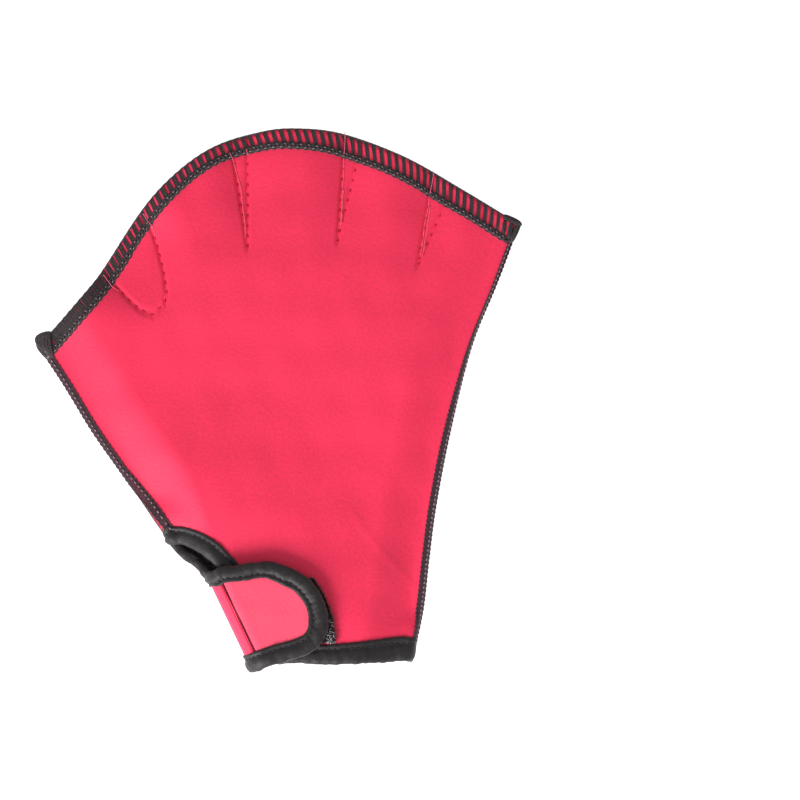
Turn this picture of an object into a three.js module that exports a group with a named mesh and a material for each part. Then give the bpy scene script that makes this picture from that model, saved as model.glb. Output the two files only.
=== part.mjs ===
// Webbed swim glove, lying on its back panel
// Millimetres, +Z up, fingers towards +Y, thumb side towards -X

import * as THREE from "three";

// Neoprene, tape and clearances
const SHEET_THICKNESS = 2;
const TAPE_THICKNESS = 0.6;
const TAPE_WIDTH = 6;
const TAPE_BULGE = 0.45;
const CLEARANCE = 0.25;

// Outline of the glove, measured from the foot of the wrist fold
const GLOVE_LENGTH = 208.5;
const WRIST_WIDTH = 59.8;
const HEM_RISE = 5.9;
const FRONT_HEM_SAG = 0.8;
const THUMB_REACH = 82.3;
const THUMB_CORNER_HEIGHT = GLOVE_LENGTH * 0.608;
const LITTLE_REACH = 100.6;
const LITTLE_CORNER_HEIGHT = GLOVE_LENGTH * 0.835;
const ARC_BULGE = GLOVE_LENGTH * 0.288;
const SLIT_REACH = 31.6;
const SLIT_HEIGHT = 51;

// Angles at which the cloth turns in from its sides, in degrees from +X
const HEM_LEAN = 17.1;
const SLIT_LEAN = -3;
const THUMB_SEAM_LEAN = 33.5;
const THUMB_ARC_LEAN = 48.6;
const LITTLE_HEM_LEAN = 180;
const LITTLE_ARC_LEAN = 149.3;

// Strap, its fold and its patches
const FOLD_LEAN = 25.5;
const STRAP_WIDTH = 39.2;
const STRAP_REACH = 35.8;
const STRAP_FOOT = 1.9;
const STRAP_SEAM_ANGLE = 60;
const SLIT_SETBACK = 8.3;
const LOOP_THICKNESS = 1.2;
const LOOP_LENGTH = 20;
const LOOP_WIDTH = 25;
const LOOP_SETBACK = 11.3;
const HOOK_THICKNESS = 1;
const HOOK_LENGTH = 13.5;
const HOOK_WIDTH = 19;
const HOOK_SETBACK = 12.2;
const LOOP_ROUNDNESS = 0.2;
const HOOK_ROUNDNESS = 0.15;

// Room between the panels
const SEAM_ROLL = 1.15;
const TAPE_ROLL = 2.15;
const WRIST_ROOM = 7;
const PALM_ROOM = 5.8;
const FINGER_ROOM = 5.7;
const RIDGE_RISE = 2;
const RIDGE_RADIUS = 78;
const RIDGE_WIDTH = 9;
const DOME_REACH = THUMB_REACH * 0.377;
const SLIT_SLOPE = 14;
const THUMB_SLOPE = 20;
const LITTLE_SLOPE = 18;
const TAPE_MARGIN = 2;
const LIFT_FADE = 9;
const ROLL_FADE = 12;

// Webs between the fingers
const WEB_DEPTH = 42;
const WEB_HALF_WIDTH = 3.2;
const WEB_SLOPE = 15;
const THUMB_WEB_DEPTH = 30.5;
const THUMB_WEB_HALF = 12.8;
const THUMB_WEB_PLACE = 0.169;
const THUMB_WEB_LEAN = 32.7;

// Finger arc: share of the way across, share of the bulge above the line between its corners
const ARC_ROWS = [
  { across: 0.113, bulge: 0.307 },
  { across: 0.229, bulge: 0.738 },
  { across: 0.346, bulge: 0.962 },
  { across: 0.463, bulge: 0.997 },
  { across: 0.553, bulge: 0.948 },
  { across: 0.645, bulge: 0.835 },
  { across: 0.77, bulge: 0.592 },
  { across: 0.889, bulge: 0.292 },
];

// Side seams: shares of the way out and up between their two ends
const THUMB_SEAM_ROWS = [
  { out: 0.166, up: 0.16 },
  { out: 0.376, up: 0.361 },
  { out: 0.59, up: 0.566 },
  { out: 0.8, up: 0.797 },
];
const LITTLE_SEAM_ROWS = [
  { out: 0.1, up: 0.107 },
  { out: 0.157, up: 0.225 },
  { out: 0.225, up: 0.35 },
  { out: 0.363, up: 0.523 },
  { out: 0.556, up: 0.71 },
  { out: 0.782, up: 0.856 },
];

// Back slit edge, from the wrap to the slit's end, and front slit edge, from the hem to the slit's end
const BACK_SLIT_ROWS = [
  { across: 0.197, up: 0.317 },
  { across: 0.645, up: 0.618 },
];
const FRONT_SLIT_ROWS = [
  { across: 0, up: 0.31 },
  { across: 0.025, up: 0.6 },
  { across: 0.23, up: 0.77 },
  { across: 0.48, up: 0.89 },
  { across: 0.83, up: 0.975 },
];

// Strap outline: shares of the strap's reach and width, round its end from the lower to the upper side
const STRAP_LOWER_ROWS = [
  { reach: 0.313, width: -0.019 },
  { reach: 0.508, width: -0.051 },
  { reach: 0.679, width: -0.06 },
  { reach: 0.788, width: -0.031 },
];
const STRAP_END_ROWS = [
  { reach: 0.891, width: 0.046 },
  { reach: 0.961, width: 0.161 },
  { reach: 1, width: 0.296 },
  { reach: 0.992, width: 0.431 },
  { reach: 0.939, width: 0.592 },
  { reach: 0.83, width: 0.722 },
];
const STRAP_UPPER_ROWS = [
  { reach: 0.709, width: 0.824 },
  { reach: 0.575, width: 0.895 },
  { reach: 0.383, width: 0.946 },
  { reach: 0.198, width: 1.005 },
];

// V webs: place across the arc, share of the depth, share of the half width, tip's lean as share of depth
const WEB_ROWS = [
  { place: 0.416, depth: 0.98, half: 1.12, lean: 0.088 },
  { place: 0.651, depth: 1, half: 0.9, lean: -0.095 },
  { place: 0.831, depth: 0.87, half: 0.83, lean: -0.197 },
];

// Thumb web: shares of its depth and half width, down one leg, round the tip and up the other
const THUMB_WEB_ROWS = [
  { down: -0.1, side: 0.95 },
  { down: 0.09, side: 1 },
  { down: 0.37, side: 0.82 },
  { down: 0.62, side: 0.62 },
  { down: 0.85, side: 0.37 },
  { down: 0.97, side: 0.12 },
  { down: 1, side: -0.35 },
  { down: 0.87, side: -0.59 },
  { down: 0.68, side: -0.72 },
  { down: 0.5, side: -0.8 },
  { down: 0.38, side: -0.91 },
  { down: 0.1, side: -0.95 },
];

// Rows of the sheets, as shares of the side's length: ends of the strap and of the slit, and the rows over
// which a side's lean changes between them and the arc
const STRAP_TOP_ROW = 0.2;
const SLIT_TOP_ROW = 0.3;
const SEAM_LEAN_ROW = 0.42;
const LAST_SLIT_ROW = 0.44;
const ARC_LEAN_ROW = 0.85;
const LITTLE_LEAN_ROW = 0.1;

// Values worked out from the sizes above
const HALF = SHEET_THICKNESS / 2;
const TAPE_INNER = HALF + CLEARANCE;
const TAPE_OUTER = TAPE_INNER + TAPE_THICKNESS;
const TAPE_NOSE = CLEARANCE + TAPE_THICKNESS + TAPE_BULGE;
const EDGE_LIFT = TAPE_OUTER - HALF;
const EDGE_HEIGHT = HALF + EDGE_LIFT;
const CLOSED_HEIGHT = HALF + 2 * SEAM_ROLL + CLEARANCE;
const WRIST_HEIGHT = CLOSED_HEIGHT + WRIST_ROOM;
const PATCH_STACK = LOOP_THICKNESS + HOOK_THICKNESS + 4 * CLEARANCE;
const STRAP_HEIGHT = WRIST_HEIGHT + SHEET_THICKNESS + PATCH_STACK;
const WRAP_RADIUS = (STRAP_HEIGHT - EDGE_HEIGHT) / 2;
const WRAP_CENTRE = HALF + WRAP_RADIUS;
const SEAM_FLAT = 1.2;
const BEND_SHARE = 0.8;
const PALM_RADIUS = RIDGE_RADIUS * 1.3;
const FINGER_RADIUS = RIDGE_RADIUS * 1.8;
const ARC_RADIUS = RIDGE_RADIUS * 2.4;
const SLIT_SLOPE_HEIGHT = SLIT_HEIGHT * 1.6;
const TAPE_SHOULDER = TAPE_OUTER * 0.9;
const STEP = 0.002;
const SAME = 1e-6;
const HALVINGS = 30;
const SEAM_SAMPLES = 20;
const QUARTER = Math.PI / 2;
const LEAN = THREE.MathUtils.degToRad(FOLD_LEAN);
const SEAM_TURN = THREE.MathUtils.degToRad(STRAP_SEAM_ANGLE);
const FOLD_IN = new THREE.Vector2(Math.cos(LEAN), Math.sin(LEAN));
const FOLD_UP = new THREE.Vector2(-Math.sin(LEAN), Math.cos(LEAN));

const { lerp, clamp, smoothstep } = THREE.MathUtils;

// A place in the strap's own axes: across the fold and up the fold
function strapPlace(across, up) {
  return new THREE.Vector2().addScaledVector(FOLD_IN, across).addScaledVector(FOLD_UP, up);
}

function strapAxes(place) {
  return { across: place.dot(FOLD_IN), up: place.dot(FOLD_UP) };
}

function direction(degrees) {
  const angle = THREE.MathUtils.degToRad(degrees);
  return new THREE.Vector2(Math.cos(angle), Math.sin(angle));
}

// Corners of the outline, on the middle of the cloth
const WRAP_FOOT = strapPlace(HALF, STRAP_FOOT);
const WRAP_HEAD = strapPlace(HALF, STRAP_FOOT + STRAP_WIDTH);
const SLIT_END = new THREE.Vector2(-SLIT_REACH, SLIT_HEIGHT);
const THUMB_CORNER = new THREE.Vector2(-THUMB_REACH, THUMB_CORNER_HEIGHT);
const LITTLE_CORNER = new THREE.Vector2(LITTLE_REACH, LITTLE_CORNER_HEIGHT);
const HEM_END = new THREE.Vector2(WRIST_WIDTH, HEM_RISE);
const DOME_CENTRE = new THREE.Vector2(-DOME_REACH, HEM_RISE);

// Side seams, slit edge and arc as smooth curves
function seamCurve(start, end, rows) {
  const between = rows.map((row) => new THREE.Vector2(
    lerp(start.x, end.x, row.out), lerp(start.y, end.y, row.up)));
  return new THREE.SplineCurve([start, ...between, end]);
}

function arcPlace(across, bulge) {
  const place = new THREE.Vector2().lerpVectors(THUMB_CORNER, LITTLE_CORNER, across);
  place.y += bulge * ARC_BULGE;
  return place;
}

function strapCurve(start, end, rows) {
  const from = strapAxes(start);
  const to = strapAxes(end);
  const between = rows.map((row) => strapPlace(
    lerp(from.across, to.across, row.across), lerp(from.up, to.up, row.up)));
  return new THREE.SplineCurve([start, ...between, end]);
}

const thumbSeam = seamCurve(SLIT_END, THUMB_CORNER, THUMB_SEAM_ROWS);
const littleSeam = seamCurve(HEM_END, LITTLE_CORNER, LITTLE_SEAM_ROWS);
const backSlit = strapCurve(WRAP_HEAD, SLIT_END, BACK_SLIT_ROWS);
const arcPlaces = ARC_ROWS.map((row) => arcPlace(row.across, row.bulge));

// Distances to lines and closed outlines
function distanceToLine(place, line) {
  let nearest = Infinity;
  const foot = new THREE.Vector2();
  for (let i = 1; i < line.length; i += 1) {
    const along = new THREE.Vector2().subVectors(line[i], line[i - 1]);
    const share = foot.subVectors(place, line[i - 1]).dot(along) / along.lengthSq();
    foot.copy(line[i - 1]).addScaledVector(along, clamp(share, 0, 1));
    nearest = Math.min(nearest, foot.distanceTo(place));
  }
  return nearest;
}

function isInside(place, outline) {
  let inside = false;
  for (let i = 0, j = outline.length - 1; i < outline.length; j = i, i += 1) {
    const p = outline[i];
    const q = outline[j];
    const crosses = p.y > place.y !== q.y > place.y;
    if (crosses && place.x < (q.x - p.x) * (place.y - p.y) / (q.y - p.y) + p.x) inside = !inside;
  }
  return inside;
}

function distanceToOutline(place, outline) {
  if (isInside(place, outline)) return 0;
  return distanceToLine(place, [...outline, outline[0]]);
}

// Webs, drawn a little past the arc so that they reach the cut edge
const arcLine = new THREE.SplineCurve([THUMB_CORNER, ...arcPlaces, LITTLE_CORNER]);

function arcPlaceAcross(across) {
  const goal = lerp(THUMB_CORNER.x, LITTLE_CORNER.x, across);
  let low = 0;
  let high = 1;
  for (let i = 0; i < HALVINGS; i += 1) {
    const middle = (low + high) / 2;
    if (arcLine.getPointAt(middle).x < goal) low = middle;
    else high = middle;
  }
  return arcLine.getPointAt(low);
}

function webOutline(row) {
  const top = arcPlaceAcross(row.place);
  const half = WEB_HALF_WIDTH * row.half;
  const depth = WEB_DEPTH * row.depth;
  const tip = new THREE.Vector2(top.x + depth * row.lean, top.y - depth);
  return [
    new THREE.Vector2(top.x - half, top.y + half),
    new THREE.Vector2(top.x + half, top.y + half),
    tip,
  ];
}

function thumbWebOutline() {
  const top = arcPlaceAcross(THUMB_WEB_PLACE);
  const side = direction(THUMB_WEB_LEAN);
  const down = new THREE.Vector2(side.y, -side.x);
  return THUMB_WEB_ROWS.map((row) => top.clone()
    .addScaledVector(down, row.down * THUMB_WEB_DEPTH)
    .addScaledVector(side, row.side * THUMB_WEB_HALF));
}

const webs = [...WEB_ROWS.map(webOutline), thumbWebOutline()];

// Height of the middle of each panel above the table
const thumbLine = thumbSeam.getSpacedPoints(SEAM_SAMPLES);
const littleLine = littleSeam.getSpacedPoints(SEAM_SAMPLES);
const boundLine = [HEM_END, strapPlace(WRAP_RADIUS, 0), strapPlace(WRAP_RADIUS, STRAP_WIDTH), SLIT_END];

function fade(distance, full, none) {
  return 1 - smoothstep(distance, full, none);
}

function backHeight(place) {
  const underTape = TAPE_WIDTH + TAPE_MARGIN;
  const nearEdge = fade(distanceToLine(place, boundLine), underTape, underTape + LIFT_FADE);
  return HALF + EDGE_LIFT * nearEdge;
}

function rollRadius(place) {
  const nearTape = Math.min(place.distanceTo(SLIT_END), place.distanceTo(HEM_END));
  const underTape = TAPE_WIDTH + TAPE_MARGIN;
  return lerp(SEAM_ROLL, TAPE_ROLL, fade(nearTape, underTape, underTape + ROLL_FADE));
}

function roomHeight(place) {
  const radius = place.distanceTo(DOME_CENTRE);
  const palm = lerp(WRIST_ROOM, PALM_ROOM, smoothstep(radius, RIDGE_RADIUS, PALM_RADIUS));
  const room = lerp(palm, FINGER_ROOM, smoothstep(radius, FINGER_RADIUS, ARC_RADIUS));
  const ridge = RIDGE_RISE * Math.exp(-(((radius - RIDGE_RADIUS) / RIDGE_WIDTH) ** 2));
  return CLOSED_HEIGHT + room + ridge;
}

function frontHeight(place) {
  const nearSlit = fade(place.y, SLIT_HEIGHT, SLIT_SLOPE_HEIGHT);
  const thumbSlope = lerp(THUMB_SLOPE, SLIT_SLOPE, nearSlit);
  const thumbOpen = smoothstep(distanceToLine(place, thumbLine), TAPE_ROLL, TAPE_ROLL + thumbSlope);
  const littleOpen = smoothstep(distanceToLine(place, littleLine), TAPE_ROLL, TAPE_ROLL + LITTLE_SLOPE);
  let open = thumbOpen * littleOpen;
  for (const web of webs) {
    const share = clamp(distanceToOutline(place, web) / WEB_SLOPE, 0, 1);
    open *= Math.sin(QUARTER * share);
  }
  const closed = backHeight(place) + 2 * rollRadius(place) + CLEARANCE;
  return lerp(closed, roomHeight(place), open);
}

// A turn of the cloth at a side: how far in and how far up it has come after a length of cloth
function turn(radius, length) {
  const bend = radius * QUARTER;
  if (length > bend) return { inward: radius + length - bend, rise: radius };
  const angle = length / radius;
  return { inward: radius * (1 - Math.cos(angle)), rise: radius * Math.sin(angle) };
}

function turnLength(radius, share) {
  if (share < BEND_SHARE) return radius * QUARTER * share / BEND_SHARE;
  return radius * QUARTER + SEAM_FLAT * (share - BEND_SHARE) / (1 - BEND_SHARE);
}

function turnShare(radius, length) {
  const bend = radius * QUARTER;
  if (length < bend) return BEND_SHARE * length / bend;
  return BEND_SHARE + (1 - BEND_SHARE) * (length - bend) / SEAM_FLAT;
}

// Thumb side: wrap, slit and seam, one after the other up the rows
const thumbSide = {
  edge(row) {
    if (row <= STRAP_TOP_ROW) {
      return new THREE.Vector2().lerpVectors(WRAP_FOOT, WRAP_HEAD, row / STRAP_TOP_ROW);
    }
    if (row <= SLIT_TOP_ROW) {
      return backSlit.getPointAt((row - STRAP_TOP_ROW) / (SLIT_TOP_ROW - STRAP_TOP_ROW));
    }
    return thumbSeam.getPointAt((row - SLIT_TOP_ROW) / (1 - SLIT_TOP_ROW));
  },
  inward(row) {
    if (row <= STRAP_TOP_ROW) return direction(lerp(HEM_LEAN, FOLD_LEAN, row / STRAP_TOP_ROW));
    if (row <= SLIT_TOP_ROW) {
      return direction(lerp(FOLD_LEAN, SLIT_LEAN, smoothstep(row, STRAP_TOP_ROW, SLIT_TOP_ROW)));
    }
    const atSeam = lerp(SLIT_LEAN, THUMB_SEAM_LEAN, smoothstep(row, SLIT_TOP_ROW, SEAM_LEAN_ROW));
    return direction(lerp(atSeam, THUMB_ARC_LEAN, smoothstep(row, ARC_LEAN_ROW, 1)));
  },
  radius(row) {
    if (row <= STRAP_TOP_ROW) return WRAP_RADIUS;
    if (row <= SLIT_TOP_ROW) {
      return lerp(WRAP_RADIUS, TAPE_ROLL, smoothstep(row, STRAP_TOP_ROW, SLIT_TOP_ROW));
    }
    return rollRadius(this.edge(row));
  },
};

// Little finger side: one seam from the hem to the arc
const littleSide = {
  edge(row) {
    return littleSeam.getPointAt(clamp(row, 0, 1));
  },
  inward(row) {
    const along = littleSeam.getTangentAt(clamp(row, 0, 1));
    const normal = THREE.MathUtils.radToDeg(Math.atan2(along.x, -along.y));
    const atSeam = lerp(normal, LITTLE_HEM_LEAN, fade(row, 0, LITTLE_LEAN_ROW));
    return direction(lerp(atSeam, LITTLE_ARC_LEAN, smoothstep(row, ARC_LEAN_ROW, 1)));
  },
  radius(row) {
    return rollRadius(this.edge(row));
  },
};

function sidePlace(side, row, share) {
  const reach = turn(side.radius(row), turnLength(side.radius(row), share));
  return side.edge(row).addScaledVector(side.inward(row), reach.inward);
}

// Flat patch of cloth between four border curves
function fourSided(left, right, bottom, top) {
  const corners = [bottom(0), bottom(1), top(0), top(1)];
  return (across, up) => {
    const place = new THREE.Vector2();
    place.addScaledVector(left(up), 1 - across).addScaledVector(right(up), across);
    place.addScaledVector(bottom(across), 1 - up).addScaledVector(top(across), up);
    place.addScaledVector(corners[0], -(1 - across) * (1 - up));
    place.addScaledVector(corners[1], -across * (1 - up));
    place.addScaledVector(corners[2], -(1 - across) * up);
    return place.addScaledVector(corners[3], -across * up);
  };
}

const thumbInner = (row) => sidePlace(thumbSide, row, 1);
const littleInner = (row) => sidePlace(littleSide, row, 1);
const arcInner = new THREE.SplineCurve([thumbInner(1), ...arcPlaces, littleInner(1)]);
const arcBorder = (share) => arcInner.getPointAt(share);

// Front panel: its slit edge leaves the seam at the slit's end and runs down to the hem
const FRONT_CORNER = strapPlace(SLIT_SETBACK, STRAP_FOOT + EDGE_LIFT);
const frontSlit = strapCurve(FRONT_CORNER, thumbInner(SLIT_TOP_ROW), FRONT_SLIT_ROWS);
const frontHemMiddle = new THREE.Vector2().addVectors(FRONT_CORNER, littleInner(0)).divideScalar(2);
frontHemMiddle.y -= FRONT_HEM_SAG;
const frontHem = new THREE.SplineCurve([FRONT_CORNER, frontHemMiddle, littleInner(0)]);

function frontLeft(row) {
  if (row < SLIT_TOP_ROW) return frontSlit.getPointAt(row / SLIT_TOP_ROW);
  return thumbInner(row);
}

const frontPatch = fourSided(frontLeft, littleInner, (share) => frontHem.getPointAt(share), arcBorder);
const backHem = new THREE.LineCurve(thumbInner(0), littleInner(0));
const backPatch = fourSided(thumbInner, littleInner, (share) => backHem.getPointAt(share), arcBorder);

// A point in the middle of a panel. Across runs from 0 to 1 on the thumb side's turn, from 1 to 2 over
// the palm, from 2 to 3 on the little finger side's turn, and from 0 to -1 up the wrap to the strap seam
function panelPoint(patch, height, facing, across, row) {
  if (across < 0) {
    const edge = thumbSide.edge(row);
    const reach = turn(WRAP_RADIUS, WRAP_RADIUS * SEAM_TURN * across);
    const level = height(edge);
    edge.addScaledVector(FOLD_IN, reach.inward);
    return new THREE.Vector3(edge.x, edge.y, level + facing * (WRAP_RADIUS - reach.rise));
  }
  if (across >= 1 && across <= 2) {
    const place = patch(across - 1, row);
    return new THREE.Vector3(place.x, place.y, height(place));
  }
  const side = across < 1 ? thumbSide : littleSide;
  const share = across < 1 ? across : 3 - across;
  const radius = side.radius(row);
  const reach = turn(radius, turnLength(radius, share));
  const place = side.edge(row).addScaledVector(side.inward(row), reach.inward);
  return new THREE.Vector3(place.x, place.y, height(place) + facing * (radius - reach.rise));
}

// A small step out of a panel goes back to its border, also at the inner corner of its notch
function withinNotch(place, outside, corner) {
  const [across, row] = place;
  if (!outside) return [clamp(across, -1, 3), clamp(row, 0, 1)];
  if (Math.abs(across - corner[0]) < 2 * STEP) return [corner[0], row];
  return [across, corner[1]];
}

const frontPanel = {
  point: (across, row) => panelPoint(frontPatch, frontHeight, -1, across, row),
  within(across, row) {
    return withinNotch([across, row], across < 1 && row < SLIT_TOP_ROW, [1, SLIT_TOP_ROW]);
  },
};

const backPanel = {
  point: (across, row) => panelPoint(backPatch, backHeight, 1, across, row),
  within(across, row) {
    return withinNotch([across, row], across < 0 && row > STRAP_TOP_ROW, [0, STRAP_TOP_ROW]);
  },
};

// Strap tab: a flat end on the same round as the wrap
const TAB_TURN = SEAM_TURN + CLEARANCE / WRAP_RADIUS;
const TAB_START = HALF + WRAP_RADIUS * (1 - Math.cos(TAB_TURN));

function strapHeight(place) {
  const short = Math.max(0, WRAP_CENTRE - strapAxes(place).across);
  return STRAP_HEIGHT - WRAP_RADIUS + Math.sqrt(WRAP_RADIUS ** 2 - short ** 2);
}

function strapOutlinePlace(row) {
  return strapPlace(row.reach * STRAP_REACH, STRAP_FOOT + row.width * STRAP_WIDTH);
}

const tabOutline = new THREE.SplineCurve([
  strapPlace(TAB_START, STRAP_FOOT),
  ...[...STRAP_LOWER_ROWS, ...STRAP_END_ROWS, ...STRAP_UPPER_ROWS].map(strapOutlinePlace),
  strapPlace(TAB_START, STRAP_FOOT + STRAP_WIDTH),
]);
const TAB_SIDES = tabOutline.points.length - 1;
const TAB_LOWER = STRAP_LOWER_ROWS.length / TAB_SIDES;
const TAB_UPPER = 1 - STRAP_UPPER_ROWS.length / TAB_SIDES;
const tabPatch = fourSided(
  (row) => strapPlace(TAB_START, STRAP_FOOT + STRAP_WIDTH * row),
  (row) => tabOutline.getPoint(lerp(TAB_LOWER, TAB_UPPER, row)),
  (across) => tabOutline.getPoint(TAB_LOWER * across),
  (across) => tabOutline.getPoint(lerp(1, TAB_UPPER, across)),
);

function raised(height, patch) {
  return {
    point(across, row) {
      const place = patch(across, row);
      return new THREE.Vector3(place.x, place.y, height(place));
    },
    within: (across, row) => [clamp(across, 0, 1), clamp(row, 0, 1)],
  };
}

const strapTab = raised(strapHeight, tabPatch);

// Patches of the closure, rounded at their far ends: the loop one square to the glove, above the hem tape,
// and the hook one square to the strap
function patchShape(start, along, up, length, width, roundness) {
  return (share, row) => {
    const side = 2 * row - 1;
    const reach = length * (1 - roundness * Math.abs(side) ** 3);
    return start.clone().addScaledVector(along, share * reach).addScaledVector(up, row * width);
  };
}

const LOOP_START = new THREE.Vector2(LOOP_SETBACK, HEM_RISE + TAPE_WIDTH + CLEARANCE);
const HOOK_START = strapPlace(HOOK_SETBACK, STRAP_FOOT + TAPE_WIDTH);
const ALONG = new THREE.Vector2(1, 0);
const UPWARDS = new THREE.Vector2(0, 1);
const LOOP_SEAT = HALF + CLEARANCE + LOOP_THICKNESS / 2;
const HOOK_SEAT = HALF + CLEARANCE + HOOK_THICKNESS / 2;
const loopPatch = raised((place) => frontHeight(place) + LOOP_SEAT,
  patchShape(LOOP_START, ALONG, UPWARDS, LOOP_LENGTH, LOOP_WIDTH, LOOP_ROUNDNESS));
const hookPatch = raised((place) => strapHeight(place) - HOOK_SEAT,
  patchShape(HOOK_START, FOLD_IN, FOLD_UP, HOOK_LENGTH, HOOK_WIDTH, HOOK_ROUNDNESS));

// Direction square to a sheet, from small steps that stay within it
function squareTo(sheet, across, row) {
  const at = (a, r) => sheet.point(...sheet.within(a, r));
  const alongAcross = at(across + STEP, row).sub(at(across - STEP, row));
  const alongRows = at(across, row + STEP).sub(at(across, row - STEP));
  return alongAcross.cross(alongRows).normalize();
}

function closedGeometry(corners, faces) {
  const flat = corners.flatMap((corner) => [corner.x, corner.y, corner.z]);
  let volume = 0;
  for (const [a, b, c] of faces) {
    volume += corners[a].dot(new THREE.Vector3().crossVectors(corners[b], corners[c])) / 6;
  }
  const outward = volume > 0 ? faces : faces.map(([a, b, c]) => [a, c, b]);
  const geometry = new THREE.BufferGeometry();
  geometry.setAttribute("position", new THREE.Float32BufferAttribute(flat, 3));
  geometry.setIndex(outward.flat());
  geometry.computeVertexNormals();
  return geometry;
}

// A sheet as a closed solid: both faces and a wall round every edge of the cells that it has
function sheetGeometry(sheet, acrossStations, rowStations, thickness, has = () => true) {
  const corners = [];
  const faces = [];
  const known = new Map();
  const cell = (i, j) => i >= 0 && j >= 0 && i < acrossStations.length - 1 && j < rowStations.length - 1
    && has(acrossStations[i], rowStations[j]);
  const corner = (i, j, side) => {
    const key = `${i} ${j} ${side}`;
    if (!known.has(key)) {
      const across = acrossStations[i];
      const row = rowStations[j];
      const square = squareTo(sheet, across, row);
      known.set(key, corners.length);
      corners.push(sheet.point(across, row).addScaledVector(square, side * thickness / 2));
    }
    return known.get(key);
  };
  const quad = (a, b, c, d) => faces.push([a, b, c], [a, c, d]);
  const wall = (i, j, k, l) => quad(corner(i, j, -1), corner(k, l, -1), corner(k, l, 1), corner(i, j, 1));
  for (let i = 0; i < acrossStations.length - 1; i += 1) {
    for (let j = 0; j < rowStations.length - 1; j += 1) {
      if (!cell(i, j)) continue;
      quad(corner(i, j, 1), corner(i + 1, j, 1), corner(i + 1, j + 1, 1), corner(i, j + 1, 1));
      quad(corner(i, j + 1, -1), corner(i + 1, j + 1, -1), corner(i + 1, j, -1), corner(i, j, -1));
      if (!cell(i, j - 1)) wall(i, j, i + 1, j);
      if (!cell(i + 1, j)) wall(i + 1, j, i + 1, j + 1);
      if (!cell(i, j + 1)) wall(i + 1, j + 1, i, j + 1);
      if (!cell(i - 1, j)) wall(i, j + 1, i, j);
    }
  }
  return closedGeometry(corners, faces);
}

// Stations along a tape's section, from the cloth's raw edge inwards, as shares of the tape's width
const TAPE_STEPS = [0, 0.17, 0.34, 0.57, 1];

// Edge of a panel along a row: the cloth lies up the rows where way is 1, down the rows where it is -1
function rowEdge(sheet, across, row, way, flip = 1) {
  const at = (a, r) => sheet.point(...sheet.within(a, r));
  const along = at(across + STEP, row).sub(at(across - STEP, row)).normalize();
  const into = sheet.point(across, row + way * STEP).sub(sheet.point(across, row));
  into.addScaledVector(along, -into.dot(along)).divideScalar(STEP);
  const rows = TAPE_STEPS.map((step) => row + way * step * TAPE_WIDTH / into.length());
  return {
    points: rows.map((place) => sheet.point(across, place)),
    squares: rows.map((place) => squareTo(sheet, across, place).multiplyScalar(flip)),
    out: into.normalize().negate(),
  };
}

// Edge of the back panel up its slit
function slitEdge(row) {
  const radius = thumbSide.radius(row);
  const flat = radius * QUARTER + SEAM_FLAT;
  const width = backPatch(0, row).distanceTo(backPatch(1, row));
  const places = TAPE_STEPS.map((step) => {
    const length = step * TAPE_WIDTH;
    const across = length < flat ? turnShare(radius, length) : 1 + (length - flat) / width;
    return [across, row];
  });
  const points = places.map(([across, place]) => backPanel.point(across, place));
  return {
    points,
    squares: places.map(([across, place]) => squareTo(backPanel, across, place)),
    out: new THREE.Vector3().subVectors(points[0], points[1]).normalize(),
  };
}

// Edge of a sheet that is known by its height over each place
function outlineEdge(height, place, inward, flip = 1) {
  const level = (x, y) => height(new THREE.Vector2(x, y));
  const places = TAPE_STEPS.map((step) => place.clone().addScaledVector(inward, step * TAPE_WIDTH));
  const squares = places.map(({ x, y }) => {
    const slopeX = (level(x + STEP, y) - level(x - STEP, y)) / (2 * STEP);
    const slopeY = (level(x, y + STEP) - level(x, y - STEP)) / (2 * STEP);
    return new THREE.Vector3(-slopeX, -slopeY, 1).normalize();
  });
  const out = new THREE.Vector3(-inward.x, -inward.y, 0);
  out.addScaledVector(squares[0], -out.dot(squares[0])).normalize();
  return {
    points: places.map((spot) => new THREE.Vector3(spot.x, spot.y, height(spot))),
    squares: squares.map((square) => square.multiplyScalar(flip)),
    out,
  };
}

function inwardAlong(curve, share, turnWay) {
  const along = curve.getTangent(share);
  return new THREE.Vector2(-along.y, along.x).multiplyScalar(turnWay);
}

// Folded tape over an edge: a U section carried from sample to sample
function tapeRing(edge) {
  const inner = [];
  const outer = [];
  const spot = (i, side, lift, out) => edge.points[i].clone()
    .addScaledVector(edge.squares[i], side * lift).addScaledVector(edge.out, out);
  const last = TAPE_STEPS.length - 1;
  for (let i = last; i > 0; i -= 1) {
    inner.push(spot(i, 1, TAPE_INNER, 0));
    outer.push(spot(i, 1, TAPE_OUTER, 0));
  }
  inner.push(spot(0, 1, TAPE_INNER, CLEARANCE), spot(0, 0, 0, CLEARANCE));
  inner.push(spot(0, -1, TAPE_INNER, CLEARANCE));
  outer.push(spot(0, 1, TAPE_SHOULDER, TAPE_NOSE / 2), spot(0, 0, 0, TAPE_NOSE));
  outer.push(spot(0, -1, TAPE_SHOULDER, TAPE_NOSE / 2));
  for (let i = 1; i <= last; i += 1) {
    inner.push(spot(i, -1, TAPE_INNER, 0));
    outer.push(spot(i, -1, TAPE_OUTER, 0));
  }
  return { inner, outer };
}

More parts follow.
